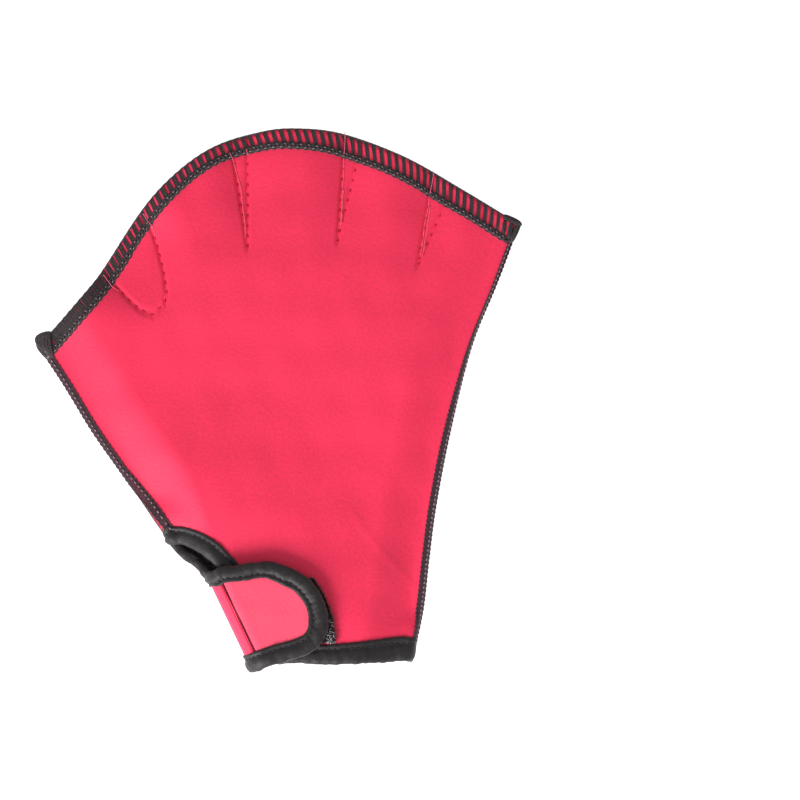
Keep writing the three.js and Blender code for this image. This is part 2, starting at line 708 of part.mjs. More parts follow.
function tapeGeometry(edges) {
  const rings = edges.map(tapeRing);
  const size = rings[0].inner.length;
  const corners = rings.flatMap((ring) => [...ring.outer, ...ring.inner.reverse()]);
  const faces = [];
  const quad = (a, b, c, d) => faces.push([a, b, c], [a, c, d]);
  const around = 2 * size;
  for (let i = 0; i < rings.length - 1; i += 1) {
    for (let j = 0; j < around; j += 1) {
      const next = (j + 1) % around;
      quad(i * around + j, i * around + next, (i + 1) * around + next, (i + 1) * around + j);
    }
  }
  const end = (rings.length - 1) * around;
  for (let j = 0; j < size - 1; j += 1) {
    const facing = around - 1 - j;
    quad(j, facing, facing - 1, j + 1);
    quad(end + j, end + j + 1, end + facing - 1, end + facing);
  }
  return closedGeometry(corners, faces);
}

function spaced(from, to, steps) {
  return Array.from({ length: steps + 1 }, (_, i) => lerp(from, to, i / steps));
}

function joined(...lists) {
  return lists.flat().filter((value, i, all) => i === 0 || Math.abs(value - all[i - 1]) > SAME);
}

// Stations of the sheets: the front has extra ones beside the slit and at each web, clear of the plain ones
const SLIT_STATIONS = [0.02, 0.045, 0.075];
const STATION_GAP = 0.018;
const HEM_TAPE_STATIONS = { first: 1.1, fine: 1.55 };
const TURN_STATIONS = joined(spaced(0, BEND_SHARE, 4), [1]);
const LAST_STATIONS = TURN_STATIONS.map((share) => 3 - share).reverse();
const HEM_ROWS = [0, 0.035, 0.075];
const STRAP_ROWS = joined(HEM_ROWS, spaced(HEM_ROWS[2], STRAP_TOP_ROW, 3));
const SLIT_ROWS = spaced(STRAP_TOP_ROW, SLIT_TOP_ROW, 6);

function arcShare(x) {
  let low = 0;
  let high = 1;
  for (let i = 0; i < HALVINGS; i += 1) {
    const middle = (low + high) / 2;
    if (arcInner.getPointAt(middle).x < x) low = middle;
    else high = middle;
  }
  return low;
}

function frontStations() {
  const atWebs = webs.flatMap((web) => [web[0], web[1]]).map((place) => arcShare(place.x));
  const atTips = webs.slice(0, -1).map((web) => (arcShare(web[0].x) + arcShare(web[1].x)) / 2);
  const marks = [...SLIT_STATIONS, ...atWebs, ...atTips];
  const isClear = (share) => marks.every((mark) => Math.abs(mark - share) > STATION_GAP);
  const plain = spaced(0, 1, 20).filter(isClear);
  const ends = [0, 1].filter((share) => !plain.includes(share));
  return [...plain, ...marks, ...ends].sort((a, b) => a - b).map((share) => 1 + share);
}

const frontAcross = joined(TURN_STATIONS, frontStations(), LAST_STATIONS);
const backAcross = joined(spaced(-1, 0, 5), TURN_STATIONS, spaced(1, 2, 12), LAST_STATIONS);
const PATCH_ROWS = spaced(0, 1, 8);
const SEAM_ROWS = joined(spaced(SLIT_TOP_ROW, LAST_SLIT_ROW, 4), spaced(LAST_SLIT_ROW, 1, 10));
const panelRows = joined(STRAP_ROWS, SLIT_ROWS, SEAM_ROWS);
const tabAcross = [0, 0.06, 0.14, 0.24, 0.38, 0.54, 0.7, 0.85, 1];
const tabRows = spaced(0, 1, 11);

// Front tape: round the thumb side's turn at the slit's end, down the slit, along the hem, round its end
function frontTapeEdges() {
  const slitShares = panelRows.filter((row) => row > 0 && row < SLIT_TOP_ROW).reverse()
    .map((row) => row / SLIT_TOP_ROW);
  const fromHem = inwardAlong(frontHem, 0, 1);
  const corner = new THREE.Vector2().addVectors(FOLD_IN, fromHem).divideScalar(1 + FOLD_IN.dot(fromHem));
  const { first, fine } = HEM_TAPE_STATIONS;
  const hemAcross = frontAcross.filter((across, i) => across > first && (across > fine || i % 2 === 0));
  return [
    ...TURN_STATIONS.map((across) => rowEdge(frontPanel, across, SLIT_TOP_ROW, 1)),
    ...slitShares.map((share) => outlineEdge(frontHeight, frontSlit.getPointAt(share),
      inwardAlong(frontSlit, frontSlit.getUtoTmapping(share), -1))),
    outlineEdge(frontHeight, FRONT_CORNER, corner),
    ...hemAcross.map((across) => rowEdge(frontPanel, across, 0, 1)),
  ];
}

// Back tape: round the end of the hem, along it, round the wrap, round the strap and back over the wrap
function backTapeEdges() {
  const wrapAcross = spaced(0, -1, 5);
  const wrapStop = -CLEARANCE / (WRAP_RADIUS * SEAM_TURN);
  const tabShares = [
    ...tabAcross.slice(1).map((across) => TAB_LOWER * across),
    ...tabRows.slice(1).map((row) => lerp(TAB_LOWER, TAB_UPPER, row)),
    ...tabAcross.slice(1, -1).reverse().map((across) => lerp(1, TAB_UPPER, across)),
  ];
  const hemAcross = backAcross.filter((across) => across > 0).reverse();
  const topAcross = [...wrapAcross.slice(1).reverse(), wrapStop];
  return [
    ...[...hemAcross, ...wrapAcross].map((across) => rowEdge(backPanel, across, 0, 1)),
    ...tabShares.map((share) => outlineEdge(strapHeight, tabOutline.getPoint(share),
      inwardAlong(tabOutline, share, 1), -1)),
    ...topAcross.map((across) => rowEdge(backPanel, across, STRAP_TOP_ROW, -1)),
  ];
}

// Slit tape: up the back panel's slit, clear of the wrap's tape below and of the front's above
function slitTapeEdges() {
  const perLength = (SLIT_TOP_ROW - STRAP_TOP_ROW) / backSlit.getLength();
  const start = STRAP_TOP_ROW + (TAPE_NOSE + CLEARANCE) * perLength;
  const stop = SLIT_TOP_ROW - (TAPE_NOSE + 6 * CLEARANCE) * perLength;
  const between = SLIT_ROWS.filter((row) => row > start + perLength && row < stop - perLength);
  return [start, ...between, stop].map(slitEdge);
}

function material(color, roughness) {
  return new THREE.MeshStandardMaterial({ color, roughness, metalness: 0 });
}

const neoprene = material(0xf4365c, 0.75);
const strapNeoprene = material(0xf95a79, 0.75);
const blackTape = material(0x2c2729, 0.85);
const loopFabric = material(0x1d1b1c, 0.95);
const hookFabric = material(0x232122, 0.7);

function piece(name, geometry, finish) {
  const mesh = new THREE.Mesh(geometry, finish);
  mesh.name = name;
  return mesh;
}

const pieces = new THREE.Group();
pieces.add(
  piece("front_panel", sheetGeometry(frontPanel, frontAcross, panelRows, SHEET_THICKNESS,
    (across, row) => across >= 1 || row >= SLIT_TOP_ROW), neoprene),
  piece("back_panel", sheetGeometry(backPanel, backAcross, panelRows, SHEET_THICKNESS,
    (across, row) => across >= 0 || row < STRAP_TOP_ROW), neoprene),
  piece("strap_tab", sheetGeometry(strapTab, tabAcross, tabRows, SHEET_THICKNESS), strapNeoprene),
  piece("loop_patch", sheetGeometry(loopPatch, spaced(0, 1, 6), PATCH_ROWS, LOOP_THICKNESS), loopFabric),
  piece("hook_patch", sheetGeometry(hookPatch, spaced(0, 1, 3), PATCH_ROWS, HOOK_THICKNESS), hookFabric),
  piece("front_binding", tapeGeometry(frontTapeEdges()), blackTape),
  piece("back_binding", tapeGeometry(backTapeEdges()), blackTape),
  piece("slit_binding", tapeGeometry(slitTapeEdges()), blackTape),
);

// The origin is under the middle of the glove, on the surface that it lies on
const box = new THREE.Box3().setFromObject(pieces);
pieces.position.set(-(box.min.x + box.max.x) / 2, -(box.min.y + box.max.y) / 2, -box.min.z);

const glove = new THREE.Group();
glove.add(pieces);

export default glove;
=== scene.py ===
# Looks of a webbed neoprene swim glove that lies flat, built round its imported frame.
# Shapes are worked out in millimetres from the foot of the wrist fold; meshes are in metres.

import math

import bpy
import numpy as np
from bpy.props import FloatProperty, FloatVectorProperty, PointerProperty
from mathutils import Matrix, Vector


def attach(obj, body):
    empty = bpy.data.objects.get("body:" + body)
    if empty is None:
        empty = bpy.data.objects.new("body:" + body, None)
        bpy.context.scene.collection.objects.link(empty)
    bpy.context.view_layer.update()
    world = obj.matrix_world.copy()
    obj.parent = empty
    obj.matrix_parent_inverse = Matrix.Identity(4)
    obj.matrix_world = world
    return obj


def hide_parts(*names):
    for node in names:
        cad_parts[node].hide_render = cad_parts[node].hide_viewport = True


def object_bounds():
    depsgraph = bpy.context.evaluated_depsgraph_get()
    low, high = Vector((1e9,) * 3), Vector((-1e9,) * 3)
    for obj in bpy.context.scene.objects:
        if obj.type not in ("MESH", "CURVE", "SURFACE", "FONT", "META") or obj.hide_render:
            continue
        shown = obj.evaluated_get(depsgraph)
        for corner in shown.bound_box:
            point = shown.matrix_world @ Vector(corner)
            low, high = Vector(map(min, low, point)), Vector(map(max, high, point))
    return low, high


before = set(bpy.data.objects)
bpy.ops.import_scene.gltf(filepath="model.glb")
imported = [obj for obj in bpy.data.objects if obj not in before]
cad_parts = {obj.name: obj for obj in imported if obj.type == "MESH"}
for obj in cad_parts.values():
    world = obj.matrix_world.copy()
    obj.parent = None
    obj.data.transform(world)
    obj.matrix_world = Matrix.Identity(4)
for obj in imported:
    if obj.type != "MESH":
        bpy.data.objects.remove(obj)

CAD_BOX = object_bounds()

bl_info = {
    "name": "Webbed swim glove",
    "version": (1, 0, 0),
    "blender": (4, 5, 0),
    "location": "View3D > Sidebar > Glove",
    "description": "Builds the cloth, tape, patches and threads of a webbed swim glove",
    "category": "Add Mesh",
}

# Cloth and tape, in millimetres
SHEET_THICKNESS = 2.0
TAPE_THICKNESS = 0.6
TAPE_WIDTH = 6.0
TAPE_BULGE = 0.45
CLEARANCE = 0.25

# Outline, as the frame has it
GLOVE_LENGTH = 208.5
WRIST_WIDTH = 59.8
HEM_RISE = 5.9
FRONT_HEM_SAG = 0.8
THUMB_REACH = 82.3
THUMB_CORNER_HEIGHT = GLOVE_LENGTH * 0.608
LITTLE_REACH = 100.6
LITTLE_CORNER_HEIGHT = GLOVE_LENGTH * 0.835
ARC_BULGE = GLOVE_LENGTH * 0.288
SLIT_REACH = 31.6
SLIT_HEIGHT = 51.0
HEM_LEAN = 17.1
SLIT_LEAN = -3.0
THUMB_SEAM_LEAN = 33.5
THUMB_ARC_LEAN = 48.6
LITTLE_HEM_LEAN = 180.0
LITTLE_ARC_LEAN = 149.3

# Strap and patches
FOLD_LEAN = 25.5
STRAP_WIDTH = 39.2
STRAP_REACH = 35.8
STRAP_FOOT = 1.9
STRAP_SEAM_ANGLE = 60.0
SLIT_SETBACK = 8.3
LOOP_THICKNESS = 1.2
LOOP_LENGTH = 20.0
LOOP_WIDTH = 25.0
LOOP_SETBACK = 11.3
HOOK_THICKNESS = 1.0
HOOK_LENGTH = 13.5
HOOK_WIDTH = 19.0
HOOK_SETBACK = 12.2

# Room between the panels
SEAM_ROLL = 1.15
TAPE_ROLL = 2.15
WRIST_ROOM = 7.0
PALM_ROOM = 4.0
FINGER_ROOM = 2.8
RIDGE_RISE = 1.0
RIDGE_RADIUS = 62.0
RIDGE_WIDTH = 20.0
DOME_REACH = THUMB_REACH * 0.377
SLIT_SLOPE = 14.0
THUMB_SLOPE = 20.0
LITTLE_SLOPE = 18.0
TAPE_MARGIN = 2.0
LIFT_FADE = 9.0
ROLL_FADE = 12.0

# Webs between the fingers
WEB_DEPTH = 42.0
WEB_HALF_WIDTH = 3.2
WEB_SLOPE = 15.0
THUMB_WEB_DEPTH = 30.5
THUMB_WEB_HALF = 12.8
THUMB_WEB_PLACE = 0.169
THUMB_WEB_LEAN = 32.7

# Finger arc: share across, share of the bulge
ARC_ROWS = ((0.113, 0.307), (0.229, 0.738), (0.346, 0.962), (0.463, 0.997),
            (0.553, 0.948), (0.645, 0.835), (0.77, 0.592), (0.889, 0.292))

# Side seams: shares out and up between their ends
THUMB_SEAM_ROWS = ((0.166, 0.16), (0.376, 0.361), (0.59, 0.566), (0.8, 0.797))
LITTLE_SEAM_ROWS = ((0.1, 0.107), (0.157, 0.225), (0.225, 0.35),
                    (0.363, 0.523), (0.556, 0.71), (0.782, 0.856))

# Slit edges: shares across and up in the strap's axes
BACK_SLIT_ROWS = ((0.197, 0.317), (0.645, 0.618))
FRONT_SLIT_ROWS = ((0.0, 0.31), (0.025, 0.6), (0.23, 0.77), (0.48, 0.89), (0.83, 0.975))

# Strap outline: shares of its reach and width, in order round its end
STRAP_LOWER_ROWS = ((0.313, -0.019), (0.508, -0.051), (0.679, -0.06), (0.788, -0.031))
STRAP_END_ROWS = ((0.891, 0.046), (0.961, 0.161), (1.0, 0.296),
                  (0.992, 0.431), (0.939, 0.592), (0.83, 0.722))
STRAP_UPPER_ROWS = ((0.709, 0.824), (0.575, 0.895), (0.383, 0.946), (0.198, 1.005))

# V webs: place across the arc, shares of depth and half width, lean of the tip
WEB_ROWS = ((0.416, 0.98, 1.12, 0.088), (0.651, 1.0, 0.9, -0.095), (0.831, 0.87, 0.83, -0.197))

# Thumb web: shares of its depth and half width, down one leg and up the other
THUMB_WEB_ROWS = ((-0.1, 0.95), (0.09, 1.0), (0.37, 0.82), (0.62, 0.62), (0.85, 0.37),
                  (0.97, 0.12), (1.0, -0.35), (0.87, -0.59), (0.68, -0.72), (0.5, -0.8),
                  (0.38, -0.91), (0.1, -0.95))

# Rows of the sheets, as shares of a side's length
STRAP_TOP_ROW = 0.2
SLIT_TOP_ROW = 0.3
SEAM_LEAN_ROW = 0.42
ARC_LEAN_ROW = 0.85
LITTLE_LEAN_ROW = 0.1

# Worked out from the sizes above
HALF = SHEET_THICKNESS / 2
TAPE_INNER = HALF + CLEARANCE
TAPE_OUTER = TAPE_INNER + TAPE_THICKNESS
TAPE_NOSE = CLEARANCE + TAPE_THICKNESS + TAPE_BULGE
EDGE_LIFT = TAPE_OUTER - HALF
EDGE_HEIGHT = HALF + EDGE_LIFT
CLOSED_HEIGHT = HALF + 2 * SEAM_ROLL + CLEARANCE
WRIST_HEIGHT = CLOSED_HEIGHT + WRIST_ROOM
PATCH_STACK = LOOP_THICKNESS + HOOK_THICKNESS + 4 * CLEARANCE
STRAP_HEIGHT = WRIST_HEIGHT + SHEET_THICKNESS + PATCH_STACK
WRAP_RADIUS = (STRAP_HEIGHT - EDGE_HEIGHT) / 2
WRAP_CENTRE = HALF + WRAP_RADIUS
SEAM_FLAT = 1.2
BEND_SHARE = 0.8
STEP = 0.002
TANGENT_STEP = 1e-4
LENGTH_STEPS = 200
SEAM_SAMPLES = 20
QUARTER = math.pi / 2
SEAM_TURN = math.radians(STRAP_SEAM_ANGLE)
FOLD_IN = np.array([math.cos(math.radians(FOLD_LEAN)), math.sin(math.radians(FOLD_LEAN))])
FOLD_UP = np.array([-FOLD_IN[1], FOLD_IN[0]])

# Middle of the frame's box, from the foot of the wrist fold
MIDDLE = np.array([9.202, 105.378, 0.0])
METRES = 0.001
SEED = 7


def lerp(low, high, share):
    return low + (high - low) * share


def smoothstep(value, low, high):
    share = np.clip((value - low) / (high - low), 0, 1)
    return share * share * (3 - 2 * share)


def fade(value, full, none):
    return 1 - smoothstep(value, full, none)


def unit(vectors):
    return vectors / np.maximum(np.linalg.norm(vectors, axis=-1, keepdims=True), 1e-12)


def run_lengths(line):
    """Length along a line of points, at each of them."""
    return np.concatenate([[0], np.cumsum(np.linalg.norm(np.diff(line, axis=0), axis=1))])


def read_line(line, at):
    """Places on a line of points, at lengths along it."""
    lengths = run_lengths(line)
    return np.stack([np.interp(at, lengths, line[:, k]) for k in range(line.shape[1])], -1)


def direction(degrees):
    angle = np.radians(degrees)
    return np.stack([np.cos(angle), np.sin(angle)], -1)


def strap_place(across, up):
    across, up = np.asarray(across, float)[..., None], np.asarray(up, float)[..., None]
    return across * FOLD_IN + up * FOLD_UP


class Curve:
    """Smooth curve through points, read by even steps or by a share of its length."""

    def __init__(self, points):
        self.points = np.array(points, float)
        self.steps = np.linspace(0, 1, LENGTH_STEPS + 1)
        self.lengths = run_lengths(self.at(self.steps))
        self.length = self.lengths[-1]

    def at(self, step):
        last = len(self.points) - 1
        place = np.clip(np.asarray(step, float), 0, 1) * last
        index = np.minimum(place.astype(int), last)
        part = (place - index)[..., None]
        before, start = self.points[np.maximum(index - 1, 0)], self.points[index]
        end = self.points[np.minimum(index + 1, last)]
        after = self.points[np.minimum(index + 2, last)]
        leave, arrive = (end - before) / 2, (after - start) / 2
        cube = (2 * start - 2 * end + leave + arrive) * part ** 3
        square = (3 * end - 3 * start - 2 * leave - arrive) * part ** 2
        return cube + square + leave * part + start

    def step(self, share):
        return np.interp(np.asarray(share, float) * self.length, self.lengths, self.steps)

    def spaced(self, share):
        return self.at(self.step(share))

    def tangent(self, step):
        step = np.asarray(step, float)
        ahead = self.at(np.minimum(step + TANGENT_STEP, 1))
        return unit(ahead - self.at(np.maximum(step - TANGENT_STEP, 0)))


# Corners and curves of the outline
WRAP_FOOT = strap_place(HALF, STRAP_FOOT)
WRAP_HEAD = strap_place(HALF, STRAP_FOOT + STRAP_WIDTH)
SLIT_END = np.array([-SLIT_REACH, SLIT_HEIGHT])
THUMB_CORNER = np.array([-THUMB_REACH, THUMB_CORNER_HEIGHT])
LITTLE_CORNER = np.array([LITTLE_REACH, LITTLE_CORNER_HEIGHT])
HEM_END = np.array([WRIST_WIDTH, HEM_RISE])
DOME_CENTRE = np.array([-DOME_REACH, HEM_RISE])


def seam_curve(start, end, rows):
    return Curve([start, *(lerp(start, end, np.array(row)) for row in rows), end])


def arc_place(across, bulge):
    return lerp(THUMB_CORNER, LITTLE_CORNER, across) + np.array([0, bulge * ARC_BULGE])


def strap_curve(start, end, rows):
    axes = np.array([FOLD_IN, FOLD_UP])
    low, high = axes @ start, axes @ end
    return Curve([start, *(lerp(low, high, np.array(row)) @ axes for row in rows), end])


THUMB_SEAM = seam_curve(SLIT_END, THUMB_CORNER, THUMB_SEAM_ROWS)
LITTLE_SEAM = seam_curve(HEM_END, LITTLE_CORNER, LITTLE_SEAM_ROWS)
BACK_SLIT = strap_curve(WRAP_HEAD, SLIT_END, BACK_SLIT_ROWS)
ARC_PLACES = [arc_place(*row) for row in ARC_ROWS]
ARC_LINE = Curve([THUMB_CORNER, *ARC_PLACES, LITTLE_CORNER])


def distance_to_line(place, line):
    nearest = np.full(place.shape[:-1], np.inf)
    for start, end in zip(line[:-1], line[1:]):
        along = end - start
        share = np.clip((place - start) @ along / (along @ along), 0, 1)
        gap = np.linalg.norm(start + share[..., None] * along - place, axis=-1)
        nearest = np.minimum(nearest, gap)
    return nearest


def is_inside(place, outline):
    inside = np.zeros(place.shape[:-1], bool)
    x, y = place[..., 0], place[..., 1]
    for p, q in zip(outline, np.roll(outline, 1, axis=0)):
        if p[1] == q[1]:
            continue
        crosses = (p[1] > y) != (q[1] > y)
        inside ^= crosses & (x < (q[0] - p[0]) * (y - p[1]) / (q[1] - p[1]) + p[0])
    return inside


def distance_to_outline(place, outline):
    away = distance_to_line(place, np.vstack([outline, outline[:1]]))
    return np.where(is_inside(place, outline), 0, away)


def arc_place_across(across):
    goal = lerp(THUMB_CORNER[0], LITTLE_CORNER[0], across)
    shares = np.linspace(0, 1, 4001)
    return ARC_LINE.spaced(np.interp(goal, ARC_LINE.spaced(shares)[:, 0], shares))


def web_outline(place, depth, half, lean):
    top, half, depth = arc_place_across(place), WEB_HALF_WIDTH * half, WEB_DEPTH * depth
    return top + np.array([[-half, half], [half, half], [depth * lean, -depth]])


THUMB_WEB_SIDE = direction(THUMB_WEB_LEAN)
THUMB_WEB_DOWN = np.array([THUMB_WEB_SIDE[1], -THUMB_WEB_SIDE[0]])


def thumb_web_outline():
    down, side = np.array(THUMB_WEB_ROWS).T[..., None]
    legs = down * THUMB_WEB_DEPTH * THUMB_WEB_DOWN + side * THUMB_WEB_HALF * THUMB_WEB_SIDE
    return arc_place_across(THUMB_WEB_PLACE) + legs


WEBS = [web_outline(*row) for row in WEB_ROWS] + [thumb_web_outline()]
WEB_TOPS = [arc_place_across(row[0]) for row in WEB_ROWS] + [arc_place_across(THUMB_WEB_PLACE)]
WEB_DOWNS = [np.array([row[3], -1.0]) / (WEB_DEPTH * row[1]) for row in WEB_ROWS]
WEB_DOWNS += [THUMB_WEB_DOWN / THUMB_WEB_DEPTH]
THUMB_LINE = THUMB_SEAM.spaced(np.linspace(0, 1, SEAM_SAMPLES + 1))
LITTLE_LINE = LITTLE_SEAM.spaced(np.linspace(0, 1, SEAM_SAMPLES + 1))
BOUND_LINE = np.array([HEM_END, strap_place(WRAP_RADIUS, 0),
                       strap_place(WRAP_RADIUS, STRAP_WIDTH), SLIT_END])


# Heights of the panels' middles
def back_height(place):
    under_tape = TAPE_WIDTH + TAPE_MARGIN
    near = fade(distance_to_line(place, BOUND_LINE), under_tape, under_tape + LIFT_FADE)
    return HALF + EDGE_LIFT * near


def roll_radius(place):
    to_slit = np.linalg.norm(place - SLIT_END, axis=-1)
    near = np.minimum(to_slit, np.linalg.norm(place - HEM_END, axis=-1))
    under_tape = TAPE_WIDTH + TAPE_MARGIN
    return lerp(SEAM_ROLL, TAPE_ROLL, fade(near, under_tape, under_tape + ROLL_FADE))


def room_height(place):
    radius = np.linalg.norm(place - DOME_CENTRE, axis=-1)
    palm = lerp(WRIST_ROOM, PALM_ROOM, smoothstep(radius, RIDGE_RADIUS, RIDGE_RADIUS * 1.8))
    finger = smoothstep(radius, RIDGE_RADIUS * 2.2, RIDGE_RADIUS * 3)
    ridge = RIDGE_RISE * np.exp(-((radius - RIDGE_RADIUS) / RIDGE_WIDTH) ** 2)
    return CLOSED_HEIGHT + lerp(palm, FINGER_ROOM, finger) + ridge


def front_height(place):
    near_slit = fade(place[..., 1], SLIT_HEIGHT, SLIT_HEIGHT * 1.6)
    thumb_slope = lerp(THUMB_SLOPE, SLIT_SLOPE, near_slit)
    to_thumb, to_little = distance_to_line(place, THUMB_LINE), distance_to_line(place, LITTLE_LINE)
    opened = smoothstep(to_thumb, TAPE_ROLL, TAPE_ROLL + thumb_slope)
    opened = opened * smoothstep(to_little, TAPE_ROLL, TAPE_ROLL + LITTLE_SLOPE)
    for web, top, down in zip(WEBS, WEB_TOPS, WEB_DOWNS):
        drawn = fade((place - top) @ down, 0.15, 1.3)
        rise = np.sin(QUARTER * np.clip(distance_to_outline(place, web) / WEB_SLOPE, 0, 1))
        opened = opened * (1 - drawn * (1 - rise))
    closed = back_height(place) + 2 * roll_radius(place) + CLEARANCE
    return lerp(closed, room_height(place), opened)


# Turn of the cloth at a side
def turn(radius, length):
    bend = radius * QUARTER
    angle = np.minimum(length, bend) / radius
    inward = radius * (1 - np.cos(angle)) + np.maximum(length - bend, 0)
    return inward, radius * np.sin(angle)


def turn_length(radius, share):
    bent = radius * QUARTER * share / BEND_SHARE
    flat = radius * QUARTER + SEAM_FLAT * (share - BEND_SHARE) / (1 - BEND_SHARE)
    return np.where(share < BEND_SHARE, bent, flat)


def turn_share(radius, length):
    bend = radius * QUARTER
    flat = BEND_SHARE + (1 - BEND_SHARE) * (length - bend) / SEAM_FLAT
    return np.where(length < bend, BEND_SHARE * length / bend, flat)


def thumb_edge(row):
    row = np.asarray(row, float)
    wrap = lerp(WRAP_FOOT, WRAP_HEAD, (row / STRAP_TOP_ROW)[..., None])
    slit = BACK_SLIT.spaced(np.clip((row - STRAP_TOP_ROW) / (SLIT_TOP_ROW - STRAP_TOP_ROW), 0, 1))
    seam = THUMB_SEAM.spaced(np.clip((row - SLIT_TOP_ROW) / (1 - SLIT_TOP_ROW), 0, 1))
    upper = np.where((row <= SLIT_TOP_ROW)[..., None], slit, seam)
    return np.where((row <= STRAP_TOP_ROW)[..., None], wrap, upper)


def thumb_inward(row):
    row = np.asarray(row, float)
    wrap = lerp(HEM_LEAN, FOLD_LEAN, row / STRAP_TOP_ROW)
    slit = lerp(FOLD_LEAN, SLIT_LEAN, smoothstep(row, STRAP_TOP_ROW, SLIT_TOP_ROW))
    seam = lerp(SLIT_LEAN, THUMB_SEAM_LEAN, smoothstep(row, SLIT_TOP_ROW, SEAM_LEAN_ROW))
    seam = lerp(seam, THUMB_ARC_LEAN, smoothstep(row, ARC_LEAN_ROW, 1))
    upper = np.where(row <= SLIT_TOP_ROW, slit, seam)
    return direction(np.where(row <= STRAP_TOP_ROW, wrap, upper))


def thumb_radius(row):
    row = np.asarray(row, float)
    slit = lerp(WRAP_RADIUS, TAPE_ROLL, smoothstep(row, STRAP_TOP_ROW, SLIT_TOP_ROW))
    seam = roll_radius(thumb_edge(row))
    return np.where(row <= STRAP_TOP_ROW, WRAP_RADIUS, np.where(row <= SLIT_TOP_ROW, slit, seam))


def little_edge(row):
    return LITTLE_SEAM.spaced(np.clip(row, 0, 1))


def little_inward(row):
    along = LITTLE_SEAM.tangent(LITTLE_SEAM.step(np.clip(row, 0, 1)))
    normal = np.degrees(np.arctan2(along[..., 0], -along[..., 1]))
    seam = lerp(normal, LITTLE_HEM_LEAN, fade(row, 0, LITTLE_LEAN_ROW))
    return direction(lerp(seam, LITTLE_ARC_LEAN, smoothstep(row, ARC_LEAN_ROW, 1)))


def little_radius(row):
    return roll_radius(little_edge(row))


THUMB_SIDE = (thumb_edge, thumb_inward, thumb_radius)
LITTLE_SIDE = (little_edge, little_inward, little_radius)


def side_inner(side, row):
    edge, inward, radius = side
    reach, _ = turn(radius(row), turn_length(radius(row), 1.0))
    return edge(row) + np.asarray(reach)[..., None] * inward(row)


def four_sided(left, right, bottom, top):
    corners = [bottom(0.0), bottom(1.0), top(0.0), top(1.0)]

    def patch(across, up):
        across, up = np.broadcast_arrays(np.asarray(across, float), np.asarray(up, float))
        a, u = across[..., None], up[..., None]
        place = left(up) * (1 - a) + right(up) * a + bottom(across) * (1 - u) + top(across) * u
        place = place - corners[0] * (1 - a) * (1 - u) - corners[1] * a * (1 - u)
        return place - corners[2] * (1 - a) * u - corners[3] * a * u

    return patch


def thumb_inner(row):
    return side_inner(THUMB_SIDE, row)


def little_inner(row):
    return side_inner(LITTLE_SIDE, row)


ARC_INNER = Curve([thumb_inner(1.0), *ARC_PLACES, little_inner(1.0)])
FRONT_CORNER = strap_place(SLIT_SETBACK, STRAP_FOOT + EDGE_LIFT)
FRONT_SLIT = strap_curve(FRONT_CORNER, thumb_inner(SLIT_TOP_ROW), FRONT_SLIT_ROWS)
HEM_MIDDLE = (FRONT_CORNER + little_inner(0.0)) / 2 - np.array([0, FRONT_HEM_SAG])
FRONT_HEM = Curve([FRONT_CORNER, HEM_MIDDLE, little_inner(0.0)])


def front_left(row):
    row = np.asarray(row, float)
    slit = FRONT_SLIT.spaced(np.clip(row / SLIT_TOP_ROW, 0, 1))
    return np.where((row < SLIT_TOP_ROW)[..., None], slit, thumb_inner(row))


def back_hem(share):
    return lerp(thumb_inner(0.0), little_inner(0.0), np.asarray(share, float)[..., None])


front_patch = four_sided(front_left, little_inner, FRONT_HEM.spaced, ARC_INNER.spaced)
back_patch = four_sided(thumb_inner, little_inner, back_hem, ARC_INNER.spaced)


def with_height(place, height):
    return np.concatenate([place, np.asarray(height)[..., None]], -1)


class Panel:
    """Front or back panel, read by across and row.

    Across runs from -1 to 0 up the wrap, from 0 to 1 and 2 to 3 round the sides, and from 1 to 2
    over the palm. Row runs from 0 at the hem to 1 at the arc.
    """

    def __init__(self, patch, height, facing, notch):
        self.patch, self.height, self.facing, self.notch = patch, height, facing, notch

    def point(self, across, row):
        across, row = np.broadcast_arrays(np.asarray(across, float), np.asarray(row, float))
        points = np.zeros(across.shape + (3,))
        wrap = across < 0
        if wrap.any():
            edge = thumb_edge(row[wrap])
            angle = SEAM_TURN * -across[wrap]
            inward = WRAP_RADIUS * (1 - np.cos(angle))
            level = self.height(edge) + self.facing * WRAP_RADIUS * (1 + np.sin(angle))
            points[wrap] = with_height(edge + inward[..., None] * FOLD_IN, level)
        palm = (across >= 1) & (across <= 2)
        if palm.any():
            place = self.patch(across[palm] - 1, row[palm])
            points[palm] = with_height(place, self.height(place))
        for (edge, inward, radius), at, share in (
            (THUMB_SIDE, (across >= 0) & (across < 1), across),
            (LITTLE_SIDE, across > 2, 3 - across),
        ):
            if at.any():
                rows, bend = row[at], radius(row[at])
                reach, rise = turn(bend, turn_length(bend, share[at]))
                place = edge(rows) + reach[..., None] * inward(rows)
                points[at] = with_height(place, self.height(place) + self.facing * (bend - rise))
        return points

    def within(self, across, row):
        corner_across, corner_row, outside = self.notch
        out = outside(across, row)
        beside = np.abs(across - corner_across) < 2 * STEP
        kept_across = np.where(out & beside, corner_across, np.clip(across, -1, 3))
        kept_row = np.where(out & ~beside, corner_row, np.clip(row, 0, 1))
        return kept_across, kept_row

    def change(self, across, row, sideways, upwards):
        """Way from one side of a place to the other, kept on the panel."""
        ahead = self.point(*self.within(across + sideways, row + upwards))
        return ahead - self.point(*self.within(across - sideways, row - upwards))

    def square(self, across, row):
        across, row = np.broadcast_arrays(np.asarray(across, float), np.asarray(row, float))
        return unit(np.cross(self.change(across, row, STEP, 0), self.change(across, row, 0, STEP)))


FRONT = Panel(front_patch, front_height, -1,
              (1.0, SLIT_TOP_ROW, lambda across, row: (across < 1) & (row < SLIT_TOP_ROW)))
BACK = Panel(back_patch, back_height, 1,
             (0.0, STRAP_TOP_ROW, lambda across, row: (across < 0) & (row > STRAP_TOP_ROW)))

